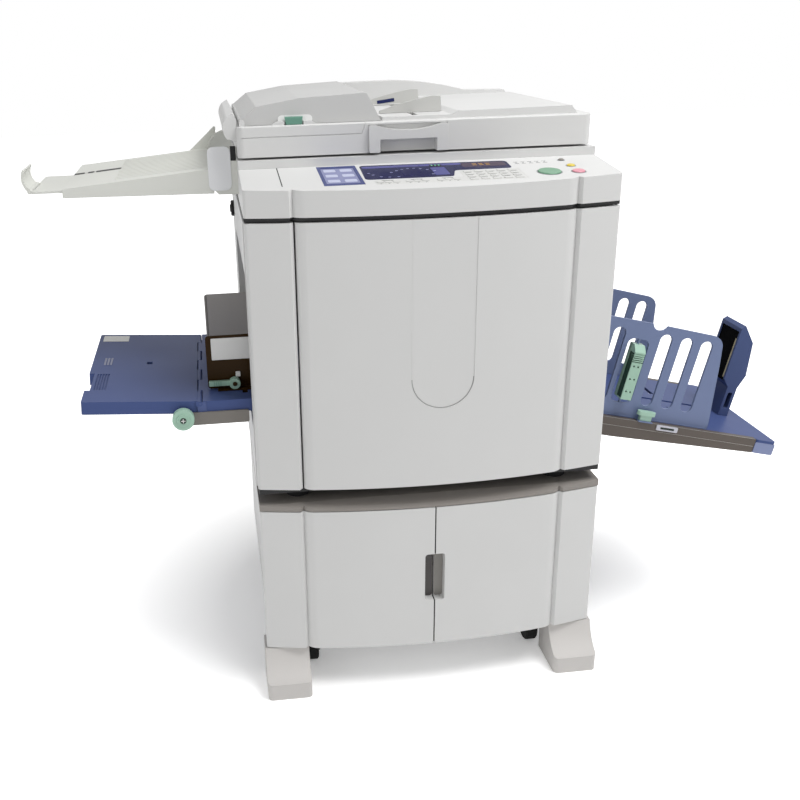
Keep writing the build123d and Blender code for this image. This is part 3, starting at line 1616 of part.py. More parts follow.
with BuildPart() as receiving_deck:
    with BuildSketch(receive):
        with Locations(((6 + rail_length + 10) / 2, paper_middle)):
            Rectangle(rail_length + 10 - 6, rail_far - rail_near - 2 * rail_width - 2 * part_gap)
    extrude(amount=deck_thick)
    with BuildSketch(receive.offset(-rail_toe)):
        with Locations(((rail_length + part_gap + deck_end) / 2, paper_middle)):
            RectangleRounded(deck_end - rail_length - part_gap, rail_far - rail_near, 8)
    extrude(amount=rail_toe + deck_thick)
    # Slots for the fences' feet, and the end stop's long slot
    for side in (-1, 1):
        for place in fence_feet:
            with BuildSketch(receive.offset(-5)):
                with Locations((place, paper_middle + side * 104)):
                    Rectangle(guide_slot, 128)
            extrude(amount=deck_thick + 6, mode=Mode.SUBTRACT)
    with BuildSketch(receive.offset(1)):
        with Locations((262, paper_middle)):
            SlotOverall(236, guide_slot)
    extrude(amount=deck_thick, mode=Mode.SUBTRACT)
receiving_deck.part.label = "receiving_deck"
export_step(receiving_deck.part, "parts/receiving_deck.step")

# Receiving fences: tall slotted side walls
fence_wall = 5
fence_foot = deck_thick + part_gap
foot_width = 6
window_places = (18, 116, 160, 203)
window_width = 25
window_low = 34
window_high = 184
arranger_u = 62
arranger_pin = 2.5
arranger_inset = 1.5
grip_u = 118


def receiving_fence(out):
    """Side fence with a row of upright windows and two tongues in the deck's slots."""
    face = paper_middle + out * guide_half
    with BuildPart() as fence:
        with BuildSketch(receive_side.offset(-face)):
            with BuildLine():
                Polyline(
                    (-34, 202),
                    (7, fence_foot),
                    (262, fence_foot),
                    (262, 18),
                    (243, 140),
                    (236, 176),
                )
                ThreePointArc((236, 176), (229, 190), (212, 197))
                Polyline((212, 197), (112, 200))
                ThreePointArc((112, 200), (96, 189), (80, 201))
                Line((80, 201), (-34, 202))
            make_face()
            for place in window_places:
                with Locations((place, (window_low + window_high) / 2)):
                    SlotOverall(window_high - window_low, window_width, rotation=90, mode=Mode.SUBTRACT)
            with Locations((62, 100)):
                RectangleRounded(44, 132, 12, mode=Mode.SUBTRACT)
        extrude(amount=-out * fence_wall)
        with BuildSketch(receive.offset(fence_foot)):
            with Locations((134, face + out * foot_width / 2)):
                Rectangle(250, foot_width)
        extrude(amount=2)
        for place in fence_feet:
            with BuildSketch(receive.offset(-2)):
                with Locations((place, face + out * foot_width / 2)):
                    Rectangle(guide_slot - 2 * part_gap, foot_width)
            extrude(amount=fence_foot + 3)
        if out < 0:
            # Ledge under the pinch grip
            with BuildSketch(receive.offset(fence_foot)):
                with Locations((grip_u, face - 14)):
                    Rectangle(30, 22)
            extrude(amount=2)
            # Pin that crosses the wide window and carries the arranger
            with BuildSketch(receive.offset(window_low - 4)):
                with Locations((arranger_u, face - arranger_inset)):
                    Circle(arranger_pin)
            extrude(amount=136)
    return fence


for name, out in (("receiving_fence_front", -1), ("receiving_fence_rear", 1)):
    fence = receiving_fence(out)
    fence.part.label = name
    export_step(fence.part, f"parts/{name}.step")

# Paper arranger: deep block in the front fence's wide window, turning on a pin
arranger_low = 46
arranger_high = 156
arranger_back = 7
arranger_deep = 24
fence_face = paper_middle - guide_half

with BuildPart() as paper_arranger:
    with BuildSketch(receive.offset(arranger_low)):
        with Locations((arranger_u, fence_face + (arranger_back - arranger_deep) / 2)):
            Rectangle(22, arranger_back + arranger_deep)
        with Locations((arranger_u, fence_face - arranger_inset)):
            Circle(arranger_pin + running_fit, mode=Mode.SUBTRACT)
    extrude(amount=arranger_high - arranger_low)
    # Six square dimples of its outer face
    with BuildSketch(receive_side.offset(-(fence_face - arranger_deep))):
        with Locations((arranger_u, (arranger_low + arranger_high) / 2 - 12)):
            with GridLocations(9, 26, 2, 3):
                Rectangle(3.4, 3.4)
    extrude(amount=-3, mode=Mode.SUBTRACT)
    # Thumb grooves above them, under the sloping top
    with BuildSketch(receive_side.offset(-(fence_face - arranger_deep))):
        with Locations((arranger_u, arranger_high - 24)):
            with GridLocations(0, 4, 1, 5):
                Rectangle(30, 2)
    extrude(amount=-1.5, mode=Mode.SUBTRACT)
    top_edges = paper_arranger.faces().sort_by(Axis.Z)[-1].edges()
    chamfer(top_edges.sort_by(Axis.Y)[0], length=12)
paper_arranger.part.label = "paper_arranger"
export_step(paper_arranger.part, "parts/paper_arranger.step")

# Pinch grip that frees the front fence: a stem under a flat oval head
grip_base = fence_foot + 2 + part_gap
grip_row = fence_face - fence_wall - 11

with BuildPart() as fence_grip:
    with BuildSketch(receive.offset(grip_base)):
        with Locations((grip_u, grip_row)):
            Rectangle(24, 10)
    extrude(amount=12)
    with BuildSketch(receive.offset(grip_base + 11)):
        with Locations((grip_u, grip_row)):
            SlotOverall(38, 14)
    extrude(amount=8)
fence_grip.part.label = "fence_grip"
export_step(fence_grip.part, "parts/fence_grip.step")

# End stop: leaning block with a foam pad on the face that meets the paper
stop_half = 40

with BuildPart() as end_stop:
    with BuildSketch(receive_side.offset(-(paper_middle - stop_half))):
        with BuildLine():
            Polyline(
                (336, 198),
                (344, 205),
                (372, 172),
                (382, 100),
                (372, 70),
                (372, fence_foot),
                (350, fence_foot),
                (350, 70),
                (336, 86),
                close=True,
            )
        make_face()
    extrude(amount=-2 * stop_half)
    with BuildSketch(receive_side.offset(-(paper_middle - stop_half + 5))):
        with BuildLine():
            Polyline((330, 190), (352, 190), (362, 160), (370, 100), (362, 80), (330, 80), close=True)
        make_face()
    extrude(amount=-(2 * stop_half - 10), mode=Mode.SUBTRACT)
    with BuildSketch(receive_side.offset(-(paper_middle - stop_half - 1))):
        with Locations((361, 40)):
            RectangleRounded(10, 36, 3)
    extrude(amount=-(2 * stop_half + 2), mode=Mode.SUBTRACT)
    with BuildSketch(receive.offset(2)):
        with Locations((361, paper_middle)):
            Rectangle(20, guide_slot - 2 * part_gap)
    extrude(amount=fence_foot)
end_stop.part.label = "end_stop"
export_step(end_stop.part, "parts/end_stop.step")

with BuildPart() as stop_pad:
    with BuildSketch(receive_side.offset(-(paper_middle - stop_half + 5.3))):
        with BuildLine():
            Polyline((338, 188), (350, 188), (360, 160), (368, 100), (361, 82), (338, 82), close=True)
        make_face()
    extrude(amount=-(2 * stop_half - 10.6))
stop_pad.part.label = "stop_pad"
export_step(stop_pad.part, "parts/stop_pad.step")
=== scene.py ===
import bpy
from math import cos, pi, radians, sin
from mathutils import Matrix, Vector


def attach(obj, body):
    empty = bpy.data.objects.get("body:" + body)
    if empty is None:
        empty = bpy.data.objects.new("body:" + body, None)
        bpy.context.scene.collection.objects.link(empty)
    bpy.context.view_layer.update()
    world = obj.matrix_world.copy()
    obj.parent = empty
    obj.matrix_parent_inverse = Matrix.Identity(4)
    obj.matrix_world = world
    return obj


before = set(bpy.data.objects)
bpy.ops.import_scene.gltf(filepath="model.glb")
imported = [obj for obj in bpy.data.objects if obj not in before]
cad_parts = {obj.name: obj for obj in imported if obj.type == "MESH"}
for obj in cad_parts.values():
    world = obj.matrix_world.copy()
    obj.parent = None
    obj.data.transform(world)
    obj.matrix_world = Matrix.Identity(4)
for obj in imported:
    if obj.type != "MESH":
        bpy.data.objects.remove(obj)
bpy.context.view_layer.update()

# Camera: a standing eye in front of the machine and a little to its left, looking
# down at it through a normal lens whose picture is shifted sideways.
eye = Vector((-0.3828, -1.9353, 1.2431))
yaw, pitch, roll = radians(-6.0), radians(-21.0), radians(-1.7)
ahead = Vector((-sin(yaw) * cos(pitch), cos(yaw) * cos(pitch), sin(pitch)))
level_right = ahead.cross(Vector((0, 0, 1))).normalized()
level_up = level_right.cross(ahead)
right = level_right * cos(roll) + level_up * sin(roll)
up = level_up * cos(roll) - level_right * sin(roll)
lens = bpy.data.cameras.new("camera")
lens.sensor_width = 36
lens.lens = 44.33
lens.shift_x = 0.1006
lens.clip_end = 50
camera = bpy.data.objects.new("camera", lens)
facing = Matrix((right, up, -ahead)).transposed().to_4x4()
camera.matrix_world = Matrix.Translation(eye) @ facing
bpy.context.scene.collection.objects.link(camera)
bpy.context.scene.camera = camera
bpy.context.scene.view_settings.view_transform = "Standard"

# Studio: surroundings that give a weak even light and look white by themselves and in
# metal and glass. A wide soft lamp stands at the upper right, weaker ones left and right.
world = bpy.data.worlds.new("studio")
bpy.context.scene.world = world
world.use_nodes = True
sky = world.node_tree
ray = sky.nodes.new("ShaderNodeLightPath")
seen = ray.outputs["Is Camera Ray"]
for kind in ("Is Glossy Ray", "Is Transmission Ray"):
    either = sky.nodes.new("ShaderNodeMath")
    either.operation = "MAXIMUM"
    sky.links.new(seen, either.inputs[0])
    sky.links.new(ray.outputs[kind], either.inputs[1])
    seen = either.outputs[0]
even_light, white = 0.37, 1.0
strength = sky.nodes.new("ShaderNodeMapRange")
strength.inputs["To Min"].default_value = even_light
strength.inputs["To Max"].default_value = white
sky.links.new(seen, strength.inputs["Value"])
sky.nodes["Background"].inputs["Color"].default_value = (1, 1, 1, 1)
sky.links.new(strength.outputs[0], sky.nodes["Background"].inputs["Strength"])


def lamp(name, place, size, power):
    """Square soft lamp that faces the middle of the machine."""
    light = bpy.data.lights.new(name, "AREA")
    light.size = size
    light.energy = power
    holder = bpy.data.objects.new(name, light)
    holder.location = place
    middle_of_machine = Vector((0, 0, 0.7))
    towards = middle_of_machine - Vector(place)
    holder.rotation_euler = towards.to_track_quat("-Z", "Y").to_euler()
    bpy.context.scene.collection.objects.link(holder)


lamp("key", (1.1, -1.0, 3.4), size=1.5, power=71)
lamp("fill", (-2.8, -1.6, 1.3), size=2.0, power=17)
lamp("side", (2.7, -1.5, 1.1), size=1.5, power=9)

# Floor: matt white ground that reaches far behind the machine. It takes the soft
# shadow and glows where that has ended, so it has no edge in the picture.
bpy.ops.mesh.primitive_plane_add(size=16, location=(0, 3, 0))
floor = bpy.context.object
floor.name = "floor"
bpy.ops.object.transform_apply()


class Wire:
    """A value on its way through a finish: sums and products of it add their nodes."""

    def __init__(self, tree, socket):
        self.tree = tree
        self.socket = socket

    def into(self, socket):
        self.tree.links.new(self.socket, socket)

    def work(self, operation, first, second):
        step = self.tree.nodes.new("ShaderNodeMath")
        step.operation = operation
        for socket, value in zip(step.inputs, (first, second)):
            if isinstance(value, Wire):
                value.into(socket)
            else:
                socket.default_value = value
        return Wire(self.tree, step.outputs[0])

    def __add__(self, other):
        return self.work("ADD", self, other)

    def __radd__(self, other):
        return self.work("ADD", other, self)

    def __mul__(self, other):
        return self.work("MULTIPLY", self, other)

    def larger(self, other):
        return self.work("MAXIMUM", self, other)


def paint(code):
    """Colour as the shader takes it, from the six figures of a colour chart."""
    shares = [int(code[at:at + 2], 16) / 255 for at in (0, 2, 4)]
    linear = [s / 12.92 if s <= 0.04045 else ((s + 0.055) / 1.055) ** 2.4 for s in shares]
    return (*linear, 1)


class Finish:
    """A material being made up: its shader, the place on the piece, and its nodes."""

    def __init__(self, name):
        self.material = bpy.data.materials.new(name)
        self.material.use_nodes = True
        self.tree = self.material.node_tree
        self.shader = self.tree.nodes["Principled BSDF"]
        self.place = self.node("ShaderNodeTexCoord", output="Object")

    def node(self, kind, settings=None, values=None, output=0):
        made = self.tree.nodes.new(kind)
        for key, setting in (settings or {}).items():
            setattr(made, key, setting)
        for key, value in (values or {}).items():
            if isinstance(value, Wire):
                value.into(made.inputs[key])
            else:
                made.inputs[key].default_value = value
        return Wire(self.tree, made.outputs[output])

    def noise(self, scale, detail, stretch=None):
        place = self.place
        if stretch:
            factors = {0: place, 1: stretch}
            place = self.node("ShaderNodeVectorMath", {"operation": "MULTIPLY"}, factors)
        values = {"Vector": place, "Scale": scale, "Detail": detail}
        return self.node("ShaderNodeTexNoise", None, values)

    def mix(self, share, first, second):
        values = {0: share, 6: first, 7: second}
        return self.node("ShaderNodeMix", {"data_type": "RGBA"}, values, 2)

    def bump(self, height, distance, strength, under):
        values = {"Height": height, "Distance": distance, "Strength": strength}
        return self.node("ShaderNodeBump", None, {**values, "Normal": under})

    def edges(self, radius):
        """Surface direction with the piece's edges rounded off."""
        return self.node("ShaderNodeBevel", {"samples": 4}, {"Radius": radius})

    def set(self, **values):
        """Puts values or wires on the shader's sockets, named with underscores."""
        for key, value in values.items():
            socket = self.shader.inputs[key.replace("_", " ")]
            if isinstance(value, Wire):
                value.into(socket)
            else:
                socket.default_value = value
        return self.material


def studio_floor():
    """Matt white floor that shows a soft shadow and fades into the white behind."""
    finish = Finish("studio_floor")
    speck = finish.noise(scale=90, detail=3)
    seen = finish.node("ShaderNodeLightPath", output="Is Camera Ray")
    for kind in ("Is Glossy Ray", "Is Transmission Ray"):
        seen = seen.larger(finish.node("ShaderNodeLightPath", output=kind))
    length = {"operation": "LENGTH"}
    away = finish.node("ShaderNodeVectorMath", length, {0: finish.place}, "Value")
    shadow_end, white_start = 0.4, 0.85
    reach = {"Value": away, "From Min": shadow_end, "From Max": white_start}
    fade = finish.node("ShaderNodeMapRange", None, reach)
    near_glow, far_glow = (0.24, 0.24, 0.24, 1), (1, 1, 1, 1)
    return finish.set(
        Base_Color=finish.mix(speck * 0.02, paint("ffffff"), paint("f4f4f4")),
        Roughness=1.0,
        Specular_IOR_Level=0.0,
        Emission_Color=finish.mix(fade, near_glow, far_glow),
        Emission_Strength=seen,
    )


floor.data.materials.append(studio_floor())


def dress(material, *names):
    """Gives these pieces of the frame one finish."""
    for name in names:
        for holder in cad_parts[name].material_slots:
            holder.material = material


# Outer covers, panel, lid, feeder hood and feet: injection-moulded plastic with a fine
# spark-eroded grain, light neutral grey, clipped and screwed to the chassis.
def moulded(name, colour, deep, grain=1500, roughness=0.5, edge=0.0012, shine=0.28):
    """Grained plastic with a slight cloudiness from the mould."""
    finish = Finish(name)
    cloud = finish.noise(scale=5, detail=3)
    fine = finish.noise(scale=grain, detail=2)
    coarse = finish.noise(scale=grain / 4, detail=1)
    rounded = finish.edges(edge)
    return finish.set(
        Base_Color=finish.mix(cloud, paint(colour), paint(deep)),
        Roughness=roughness - 0.05 + cloud * 0.1,
        Specular_IOR_Level=shine,
        Normal=finish.bump(fine * 0.7 + coarse * 0.3, 0.00006, 0.5, rounded),
    )


dress(
    moulded("body_plastic", "dadad9", "d5d5d4"),
    "left_cover", "right_cover", "rear_cover", "front_left_panel", "front_cover",
    "control_panel", "scanner_housing", "scanner_lid", "lid_handle",
)
dress(moulded("hood_plastic", "c4c4c3", "bebebd"), "feeder_hood")
dress(
    moulded("foot_plastic", "d0cdca", "cac7c4", grain=1100, roughness=0.55, edge=0.002),
    "stand_foot_left", "stand_foot_right",
)


# Stand cabinet, doors, plates, rails and chassis: bent sheet steel, powder-coated, light
# grey to match the machine, grey to brown on the plates, guides, arm and rails around
# the paper. The chassis is near black, as painted shade in the grooves where it shows.
def powder_coat(name, colour, deep, roughness=0.42, shine=0.28):
    """Baked powder with its orange-peel waviness."""
    finish = Finish(name)
    peel = finish.noise(scale=520, detail=2)
    wide = finish.noise(scale=7, detail=2)
    return finish.set(
        Base_Color=finish.mix(wide, paint(colour), paint(deep)),
        Roughness=roughness + peel * 0.08,
        Specular_IOR_Level=shine,
        Normal=finish.bump(peel, 0.00012, 0.35, finish.edges(0.0009)),
    )


dress(
    powder_coat("stand_steel", "dadad9", "d5d5d4"),
    "stand_cabinet", "stand_door_left", "stand_door_right",
)
dress(powder_coat("plate_brown", "938e89", "88837e"), "stand_top_plate")
# Rear feed guide: paler than its real grey, as painted light on a face that lies in shade.
dress(powder_coat("guide_metal", "d8d3cd", "cec9c3"), "feed_guide_rear")
dress(
    powder_coat("guide_brown", "3b2810", "2f1f0b", roughness=0.25, shine=0.06),
    "feed_guide_front",
)
dress(powder_coat("arm_grey", "7d7974", "75716c"), "dial_arm")
dress(powder_coat("rail_brown", "5e5650", "544d48"), "receiving_frame")
# Chassis: near black as painted shade of the grooves where it shows between the covers.
dress(powder_coat("chassis_painted_shade", "2b2b2c", "242425", roughness=0.5), "chassis")


# Bare metal inside the machine and under the stand: rolled and drawn steel, as forks,
# drum skin, motor case, hinges and pins.
def drawn_steel(name, colour, roughness=0.38):
    """Steel with fine drawing lines."""
    finish = Finish(name)
    lines = finish.noise(scale=900, detail=2, stretch=(0.04, 1.0, 1.0))
    stain = finish.noise(scale=11, detail=3)
    return finish.set(
        Base_Color=finish.mix(stain, paint(colour), paint("6f7173")),
        Metallic=1.0,
        Roughness=roughness + lines * 0.15,
        Normal=finish.bump(lines, 0.00003, 0.4, finish.edges(0.0006)),
    )


dress(
    drawn_steel("dark_metal", "8b8e91"),
    "caster_fork_left", "caster_fork_right", "print_drum", "drive_motor", "lid_hinges",
)
dress(drawn_steel("steel", "b9bcbf", roughness=0.25), "hinge_pins")


# Wheels, feet, rollers and the end stop's pad: black and dark rubber and foam, pressed
# on their hubs or glued on. With them come two inner parts of other stuff, the black
# plastic scanning carriage and the roll of cream master film.
def rubber(name, colour, worn, shine=0.2):
    """Dull rubber, greyer where it has rubbed."""
    finish = Finish(name)
    grain = finish.noise(scale=1100, detail=3)
    patch = finish.noise(scale=30, detail=3)
    return finish.set(
        Base_Color=finish.mix(patch, paint(colour), paint(worn)),
        Roughness=0.72 + patch * 0.15,
        Specular_IOR_Level=shine,
        Normal=finish.bump(grain, 0.00008, 0.5, finish.edges(0.0008)),
    )


dress(
    rubber("black_rubber", "1c1c1d", "2a2a2b"),
    "caster_wheel_left", "caster_wheel_right", "rear_wheels", "machine_feet",
)
dress(rubber("stop_foam", "050506", "0a0a0c", shine=0.03), "stop_pad")
dress(rubber("roller_rubber", "2b2c2e", "3a3b3d"), "press_roller", "feed_roller")
dress(moulded("carriage_black", "1d1d1e", "262627"), "scan_carriage")
dress(moulded("master_film", "e2dcc8", "d8d2bd", grain=700, roughness=0.6), "master_roll")

# Trays, fences and grips: moulded plastic, slate-blue where paper lies, cream on the
# original tray and pale green on everything that a hand moves.
dress(
    moulded("tray_blue", "4c5b8b", "455380", grain=1300, roughness=0.42, shine=0.1),
    "feed_deck", "feed_leaf", "receiving_deck",
)
dress(
    moulded("stop_blue", "4c5a84", "455279", grain=1300, roughness=0.38, shine=0.12),
    "end_stop",
)
dress(
    moulded("fence_blue", "7380a3", "6c799b", grain=1300, roughness=0.42),
    "receiving_fence_front", "receiving_fence_rear",
)
dress(
    moulded("guide_grey", "cbcbc8", "c3c3c0"),
    "document_guide_front", "document_guide_rear",
)
dress(
    moulded("cream_plastic", "dedfd9", "d7d8d2"),
    "original_tray", "tray_extension", "tray_stopper",
)
dress(
    moulded("grip_green", "a8cab7", "9ec0ad", grain=1400, roughness=0.35),
    "guide_lock", "position_dial", "paper_arranger", "fence_grip",
)
dress(
    moulded("release_green", "6c9a89", "64907f", grain=1400, roughness=0.35),
    "hood_release",
)


# Operating panel: windows of smooth acrylic, printed on their back and glued in their
# sinks, a printed key mat and glossy moulded push keys.
def acrylic(name, colour, deep):
    """Smooth tinted acrylic with a faint wipe mark."""
    finish = Finish(name)
    wipe = finish.noise(scale=16, detail=3, stretch=(1.0, 0.25, 1.0))
    return finish.set(
        Base_Color=finish.mix(wipe, paint(colour), paint(deep)),
        Roughness=0.2 + wipe * 0.12,
        Specular_IOR_Level=0.07,
        Normal=finish.edges(0.0006),
    )


dress(acrylic("display_dark", "181b4c", "141744"), "display_window")
dress(acrylic("touch_blue", "4d5586", "464e7d"), "touch_panel")
dress(moulded("key_grey", "d6d6d4", "cfcfcd", grain=1400, edge=0.0004), "key_mat")
for key, colour, deep, roughness in (
    ("wake_brown", "8a8680", "817d77", 0.4),
    ("start_green", "7fa98d", "779f85", 0.35),
    ("stop_pink", "e6a0ae", "de96a4", 0.3),
    ("reset_yellow", "e8cf52", "dfc64a", 0.3),
):
    cap = moulded(key, colour, deep, grain=1400, roughness=roughness, edge=0.0005)
    dress(cap, key.split("_")[0] + "_key")


# Platen: clear float glass that lies in the scanner's rim, a little green at depth
# and with the faint smears of use.
def plate_glass():
    """Clear glass whose polish is dulled in patches."""
    finish = Finish("glass")
    smear = finish.noise(scale=14, detail=3)
    return finish.set(
        Base_Color=paint("e8f2ee"),
        Transmission_Weight=1.0,
        IOR=1.5,
        Roughness=smear * 0.04,
    )


dress(plate_glass(), "platen_glass")


# Touch screen: a matt backlit screen in a blue frame, showing two columns of pale
# soft keys; each is a thin rounded field just under the frame's face.
mm = 0.001
panel_front, panel_level, panel_tilt = -300, 984, 6.466


def clad(piece, body, material):
    """Finish, smoothing and carrier of a new piece."""
    piece.data.materials.append(material)
    bpy.ops.object.shade_smooth_by_angle(angle=radians(35))
    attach(piece, body)
    return piece


def plate(name, middle, wide, deep, thick, corner=0.0):
    """Flat plate with rounded corners, lying on the given place; sizes in millimetres."""
    bpy.ops.object.select_all(action="DESELECT")
    bpy.ops.mesh.primitive_plane_add(size=1, location=Vector(middle) * mm)
    piece = bpy.context.object
    piece.name = name
    bpy.ops.transform.resize(value=(wide * mm, deep * mm, 1))
    bpy.ops.object.transform_apply()
    bpy.ops.object.mode_set(mode="EDIT")
    bpy.ops.mesh.select_all(action="SELECT")
    if corner:
        bpy.ops.mesh.bevel(offset=corner * mm, segments=4, affect="VERTICES")
    bpy.ops.mesh.extrude_region_move(TRANSFORM_OT_translate={"value": (0, 0, thick * mm)})
    bpy.ops.mesh.inset(thickness=min(thick, 0.4) * mm * 0.3)
    bpy.ops.mesh.select_all(action="SELECT")
    bpy.ops.mesh.normals_make_consistent(inside=False)
    bpy.ops.object.mode_set(mode="OBJECT")
    return piece


def turn(piece, angle, axis, about):
    """Turns the active piece's mesh about a place in millimetres, by the right hand."""
    bpy.ops.object.mode_set(mode="EDIT")
    bpy.ops.mesh.select_all(action="SELECT")
    bpy.ops.transform.rotate(
        value=-radians(angle),
        orient_axis=axis,
        orient_type="GLOBAL",
        center_override=Vector(about) * mm,
    )
    bpy.ops.object.mode_set(mode="OBJECT")
    return piece


def on_slope(piece, material):
    """Tips a piece that was made level onto the operating panel."""
    turn(piece, panel_tilt, "X", (0, panel_front, panel_level))
    return clad(piece, "machine", material)


def on_panel(name, across, along, height, wide, deep, thick, corner, material):
    """Plate lying on the sloping panel; the place is measured from its front edge."""
    middle = (across, panel_front + along, panel_level + height)
    return on_slope(plate(name, middle, wide, deep, thick, corner), material)


def repeat(piece, shifts, body="machine"):
    """Copies of a piece with meshes of their own, moved by these steps in millimetres."""
    for count, shift in enumerate(shifts, 2):
        bpy.ops.object.select_all(action="DESELECT")
        piece.select_set(True)
        bpy.context.view_layer.objects.active = piece
        bpy.ops.object.duplicate(linked=False)
        copy = bpy.context.object
        copy.name = f"{piece.name}_{count}"
        bpy.ops.object.mode_set(mode="EDIT")
        bpy.ops.mesh.select_all(action="SELECT")
        bpy.ops.transform.translate(value=Vector(shift) * mm)
        bpy.ops.object.mode_set(mode="OBJECT")
        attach(copy, body)


def uphill(across, along):
    """Step across and up the sloping panel."""
    slope = radians(panel_tilt)
    return (across, along * cos(slope), along * sin(slope))


screen_grey = acrylic("screen_grey", "8f93b8", "868ab0")
on_panel("screen_field", -155, 83, -0.62, 58, 98, 0.1, 2, screen_grey)
soft_white = acrylic("soft_key", "c6cae2", "bcc1da")
soft_key = on_panel("soft_key", -169.5, 49, -0.5, 21, 17, 0.3, 3, soft_white)
repeat(soft_key, [uphill(x, y) for x in (0, 29) for y in (0, 34, 68) if x or y])

# Display window: dark acrylic with its print drawn on the face. A lighter field at the
# top, a green counter, six amber labels, and an arc and a scatter of indicator marks.
print_violet = acrylic("print_violet", "595a92", "52538b")
print_pale = acrylic("print_pale", "b9bbe0", "b0b2d8")
print_amber = acrylic("print_amber", "b98a3c", "ad8035")
print_green = acrylic("print_green", "7fd0a0", "74c596")
print_umber = acrylic("print_umber", "4a3c4e", "433648")
counter_dark = acrylic("counter_dark", "12251c", "0f2018")
on_panel("display_upper_field", -20, 128, 0, 180, 14, 0.12, 5, print_violet)
on_panel("display_side_field", 108, 116, 0, 80, 30, 0.12, 6, print_umber)
on_panel("display_stage", 22, 84, 0, 26, 50, 0.12, 3, print_violet)
on_panel("counter_window", 22, 124, 0.12, 22, 9, 0.12, 1.5, counter_dark)
counter_bar = on_panel("counter_bar", 15.5, 124, 0.24, 3, 6, 0.1, 0.6, print_green)
repeat(counter_bar, [uphill(x, 0) for x in (6.5, 13)])
amber_label = on_panel("amber_label", 92, 122, 0.12, 8, 3, 0.1, 0.8, print_amber)
repeat(amber_label, [uphill(x, y) for x in (0, 12, 24) for y in (0, -8) if x or y])
indicator = on_panel("indicator", -64, 88, 0.12, 5, 2.2, 0.1, 0.9, print_pale)
arc = [(11 * step, 22 * sin(pi * step / 7)) for step in range(1, 8)]
stray = [(-40, 0), (-34, -12), (-22, -26), (-8, -30), (8, -30), (70, -22)]
repeat(indicator, [uphill(*place) for place in arc + stray])

# Key mat: a membrane with its marks printed on top. Each key has a fine dash over it,
# and three frame lines, each with a mark above, stand over groups of three lights.
ink = moulded("mat_ink", "5a5a60", "505056", grain=1400)
key_dash = on_panel("key_dash", 67, 31, 0, 9, 1.4, 0.15, 0.4, ink)
repeat(key_dash, [uphill(20 * x, 16 * y) for x in range(5) for y in range(3) if x or y])
for name, along, wide, deep, corner in (
    ("group_line", 33.5, 36, 1.1, 0.3),
    ("group_mark", 37.4, 20, 1.6, 0.5),
):
    mark = on_panel(name, -80, along, 0, wide, deep, 0.15, corner, ink)
    repeat(mark, [uphill(50, 0), uphill(104, 0)])
key_light = on_panel("key_light", -94, 17.5, 0, 3, 1.6, 0.15, 0.5, ink)
repeat(key_light, [uphill(x, 0) for x in (14, 28, 50, 64, 78, 104, 118, 132)])

# Blank cap at the left of the panel: a moulded cover over an unused place, with a dark
# rubber seal in its joint line.
seal_dark = rubber("seal_dark", "3a3a3b", "444445")
on_panel("cap_seal", -260, 90, 0, 1.8, 124, 0.12, 0, seal_dark)

# Function keys left of the wake key: printed dashes in two rows, and between them the
# grey domes of five small keys under the panel's film.
function_dash = on_panel("function_dash", 168, 121, 0, 8, 1.3, 0.15, 0.4, ink)
dashes = [uphill(13 * x, -11 * y) for x in range(5) for y in range(2) if x or y]
repeat(function_dash, dashes)
dot_grey = moulded("dot_grey", "8f9194", "888a8d")
function_dot = on_panel("function_dot", 168, 115.5, 0, 3, 3, 0.2, 1.3, dot_grey)
repeat(function_dot, [uphill(13 * x, 0) for x in range(1, 5)])


# Push keys: each sits in a moulded ring, a little darker than its cap, that is snapped
# into the panel.
def ring(name, middle, outer, inner, thick, material):
    """Flat ring of a tube's section, lying on the sloping panel."""
    bpy.ops.object.select_all(action="DESELECT")
    bpy.ops.mesh.primitive_torus_add(
        location=Vector(middle) * mm,
        major_radius=(outer + inner) / 2 * mm,
        minor_radius=(outer - inner) / 2 * mm,
        major_segments=48,
        minor_segments=10,
    )
    piece = bpy.context.object
    piece.name = name
    bpy.ops.transform.resize(value=(1, 1, thick / (outer - inner)))
    bpy.ops.object.transform_apply()
    on_slope(piece, material)


ring_grey = moulded("ring_grey", "9fa3a6", "979b9e", grain=1400, roughness=0.4)
for key, across, along, radius in (
    ("start", 207, 46, 20),
    ("stop", 257, 40, 11),
    ("reset", 257, 80, 7),
    ("wake", 253, 121, 5),
):
    middle = (across, panel_front + along, panel_level + 0.2)
    ring(f"{key}_ring", middle, radius + 2.2, radius + 0.5, 0.9, ring_grey)


# Stand doors: black rubber edging glued on the two faces that meet, and the floor of the
# finger grip coloured with painted shade, deeper on the left half.
def standing(name, middle, wide, high, thick, corner=0.0):
    """Plate standing across the machine whose thickness grows towards the operator."""
    across, depth, level = middle
    piece = plate(name, (across, level, -depth), wide, high, thick, corner)
    return turn(piece, 90, "X", (0, 0, 0))


edging = rubber("door_edging", "101011", "19191a")
grip_shade = powder_coat("grip_shade", "545150", "4b4847")
grip_light_shade = powder_coat("grip_light_shade", "96938f", "8c8985")
for body, side, coat in (("left_door", -1, grip_shade), ("right_door", 1, grip_light_shade)):
    for part, low, high in (("low", 92, 187), ("high", 291, 387)):
        middle = (side * 0.75, -310, low)
        clad(plate(f"door_edging_{body}_{part}", middle, 0.9, 18, high - low), body, edging)
    bed = standing(f"grip_bed_{body}", (side * 10, -303.05, 239), 17.2, 100, 0.5, 5)
    clad(bed, body, coat)
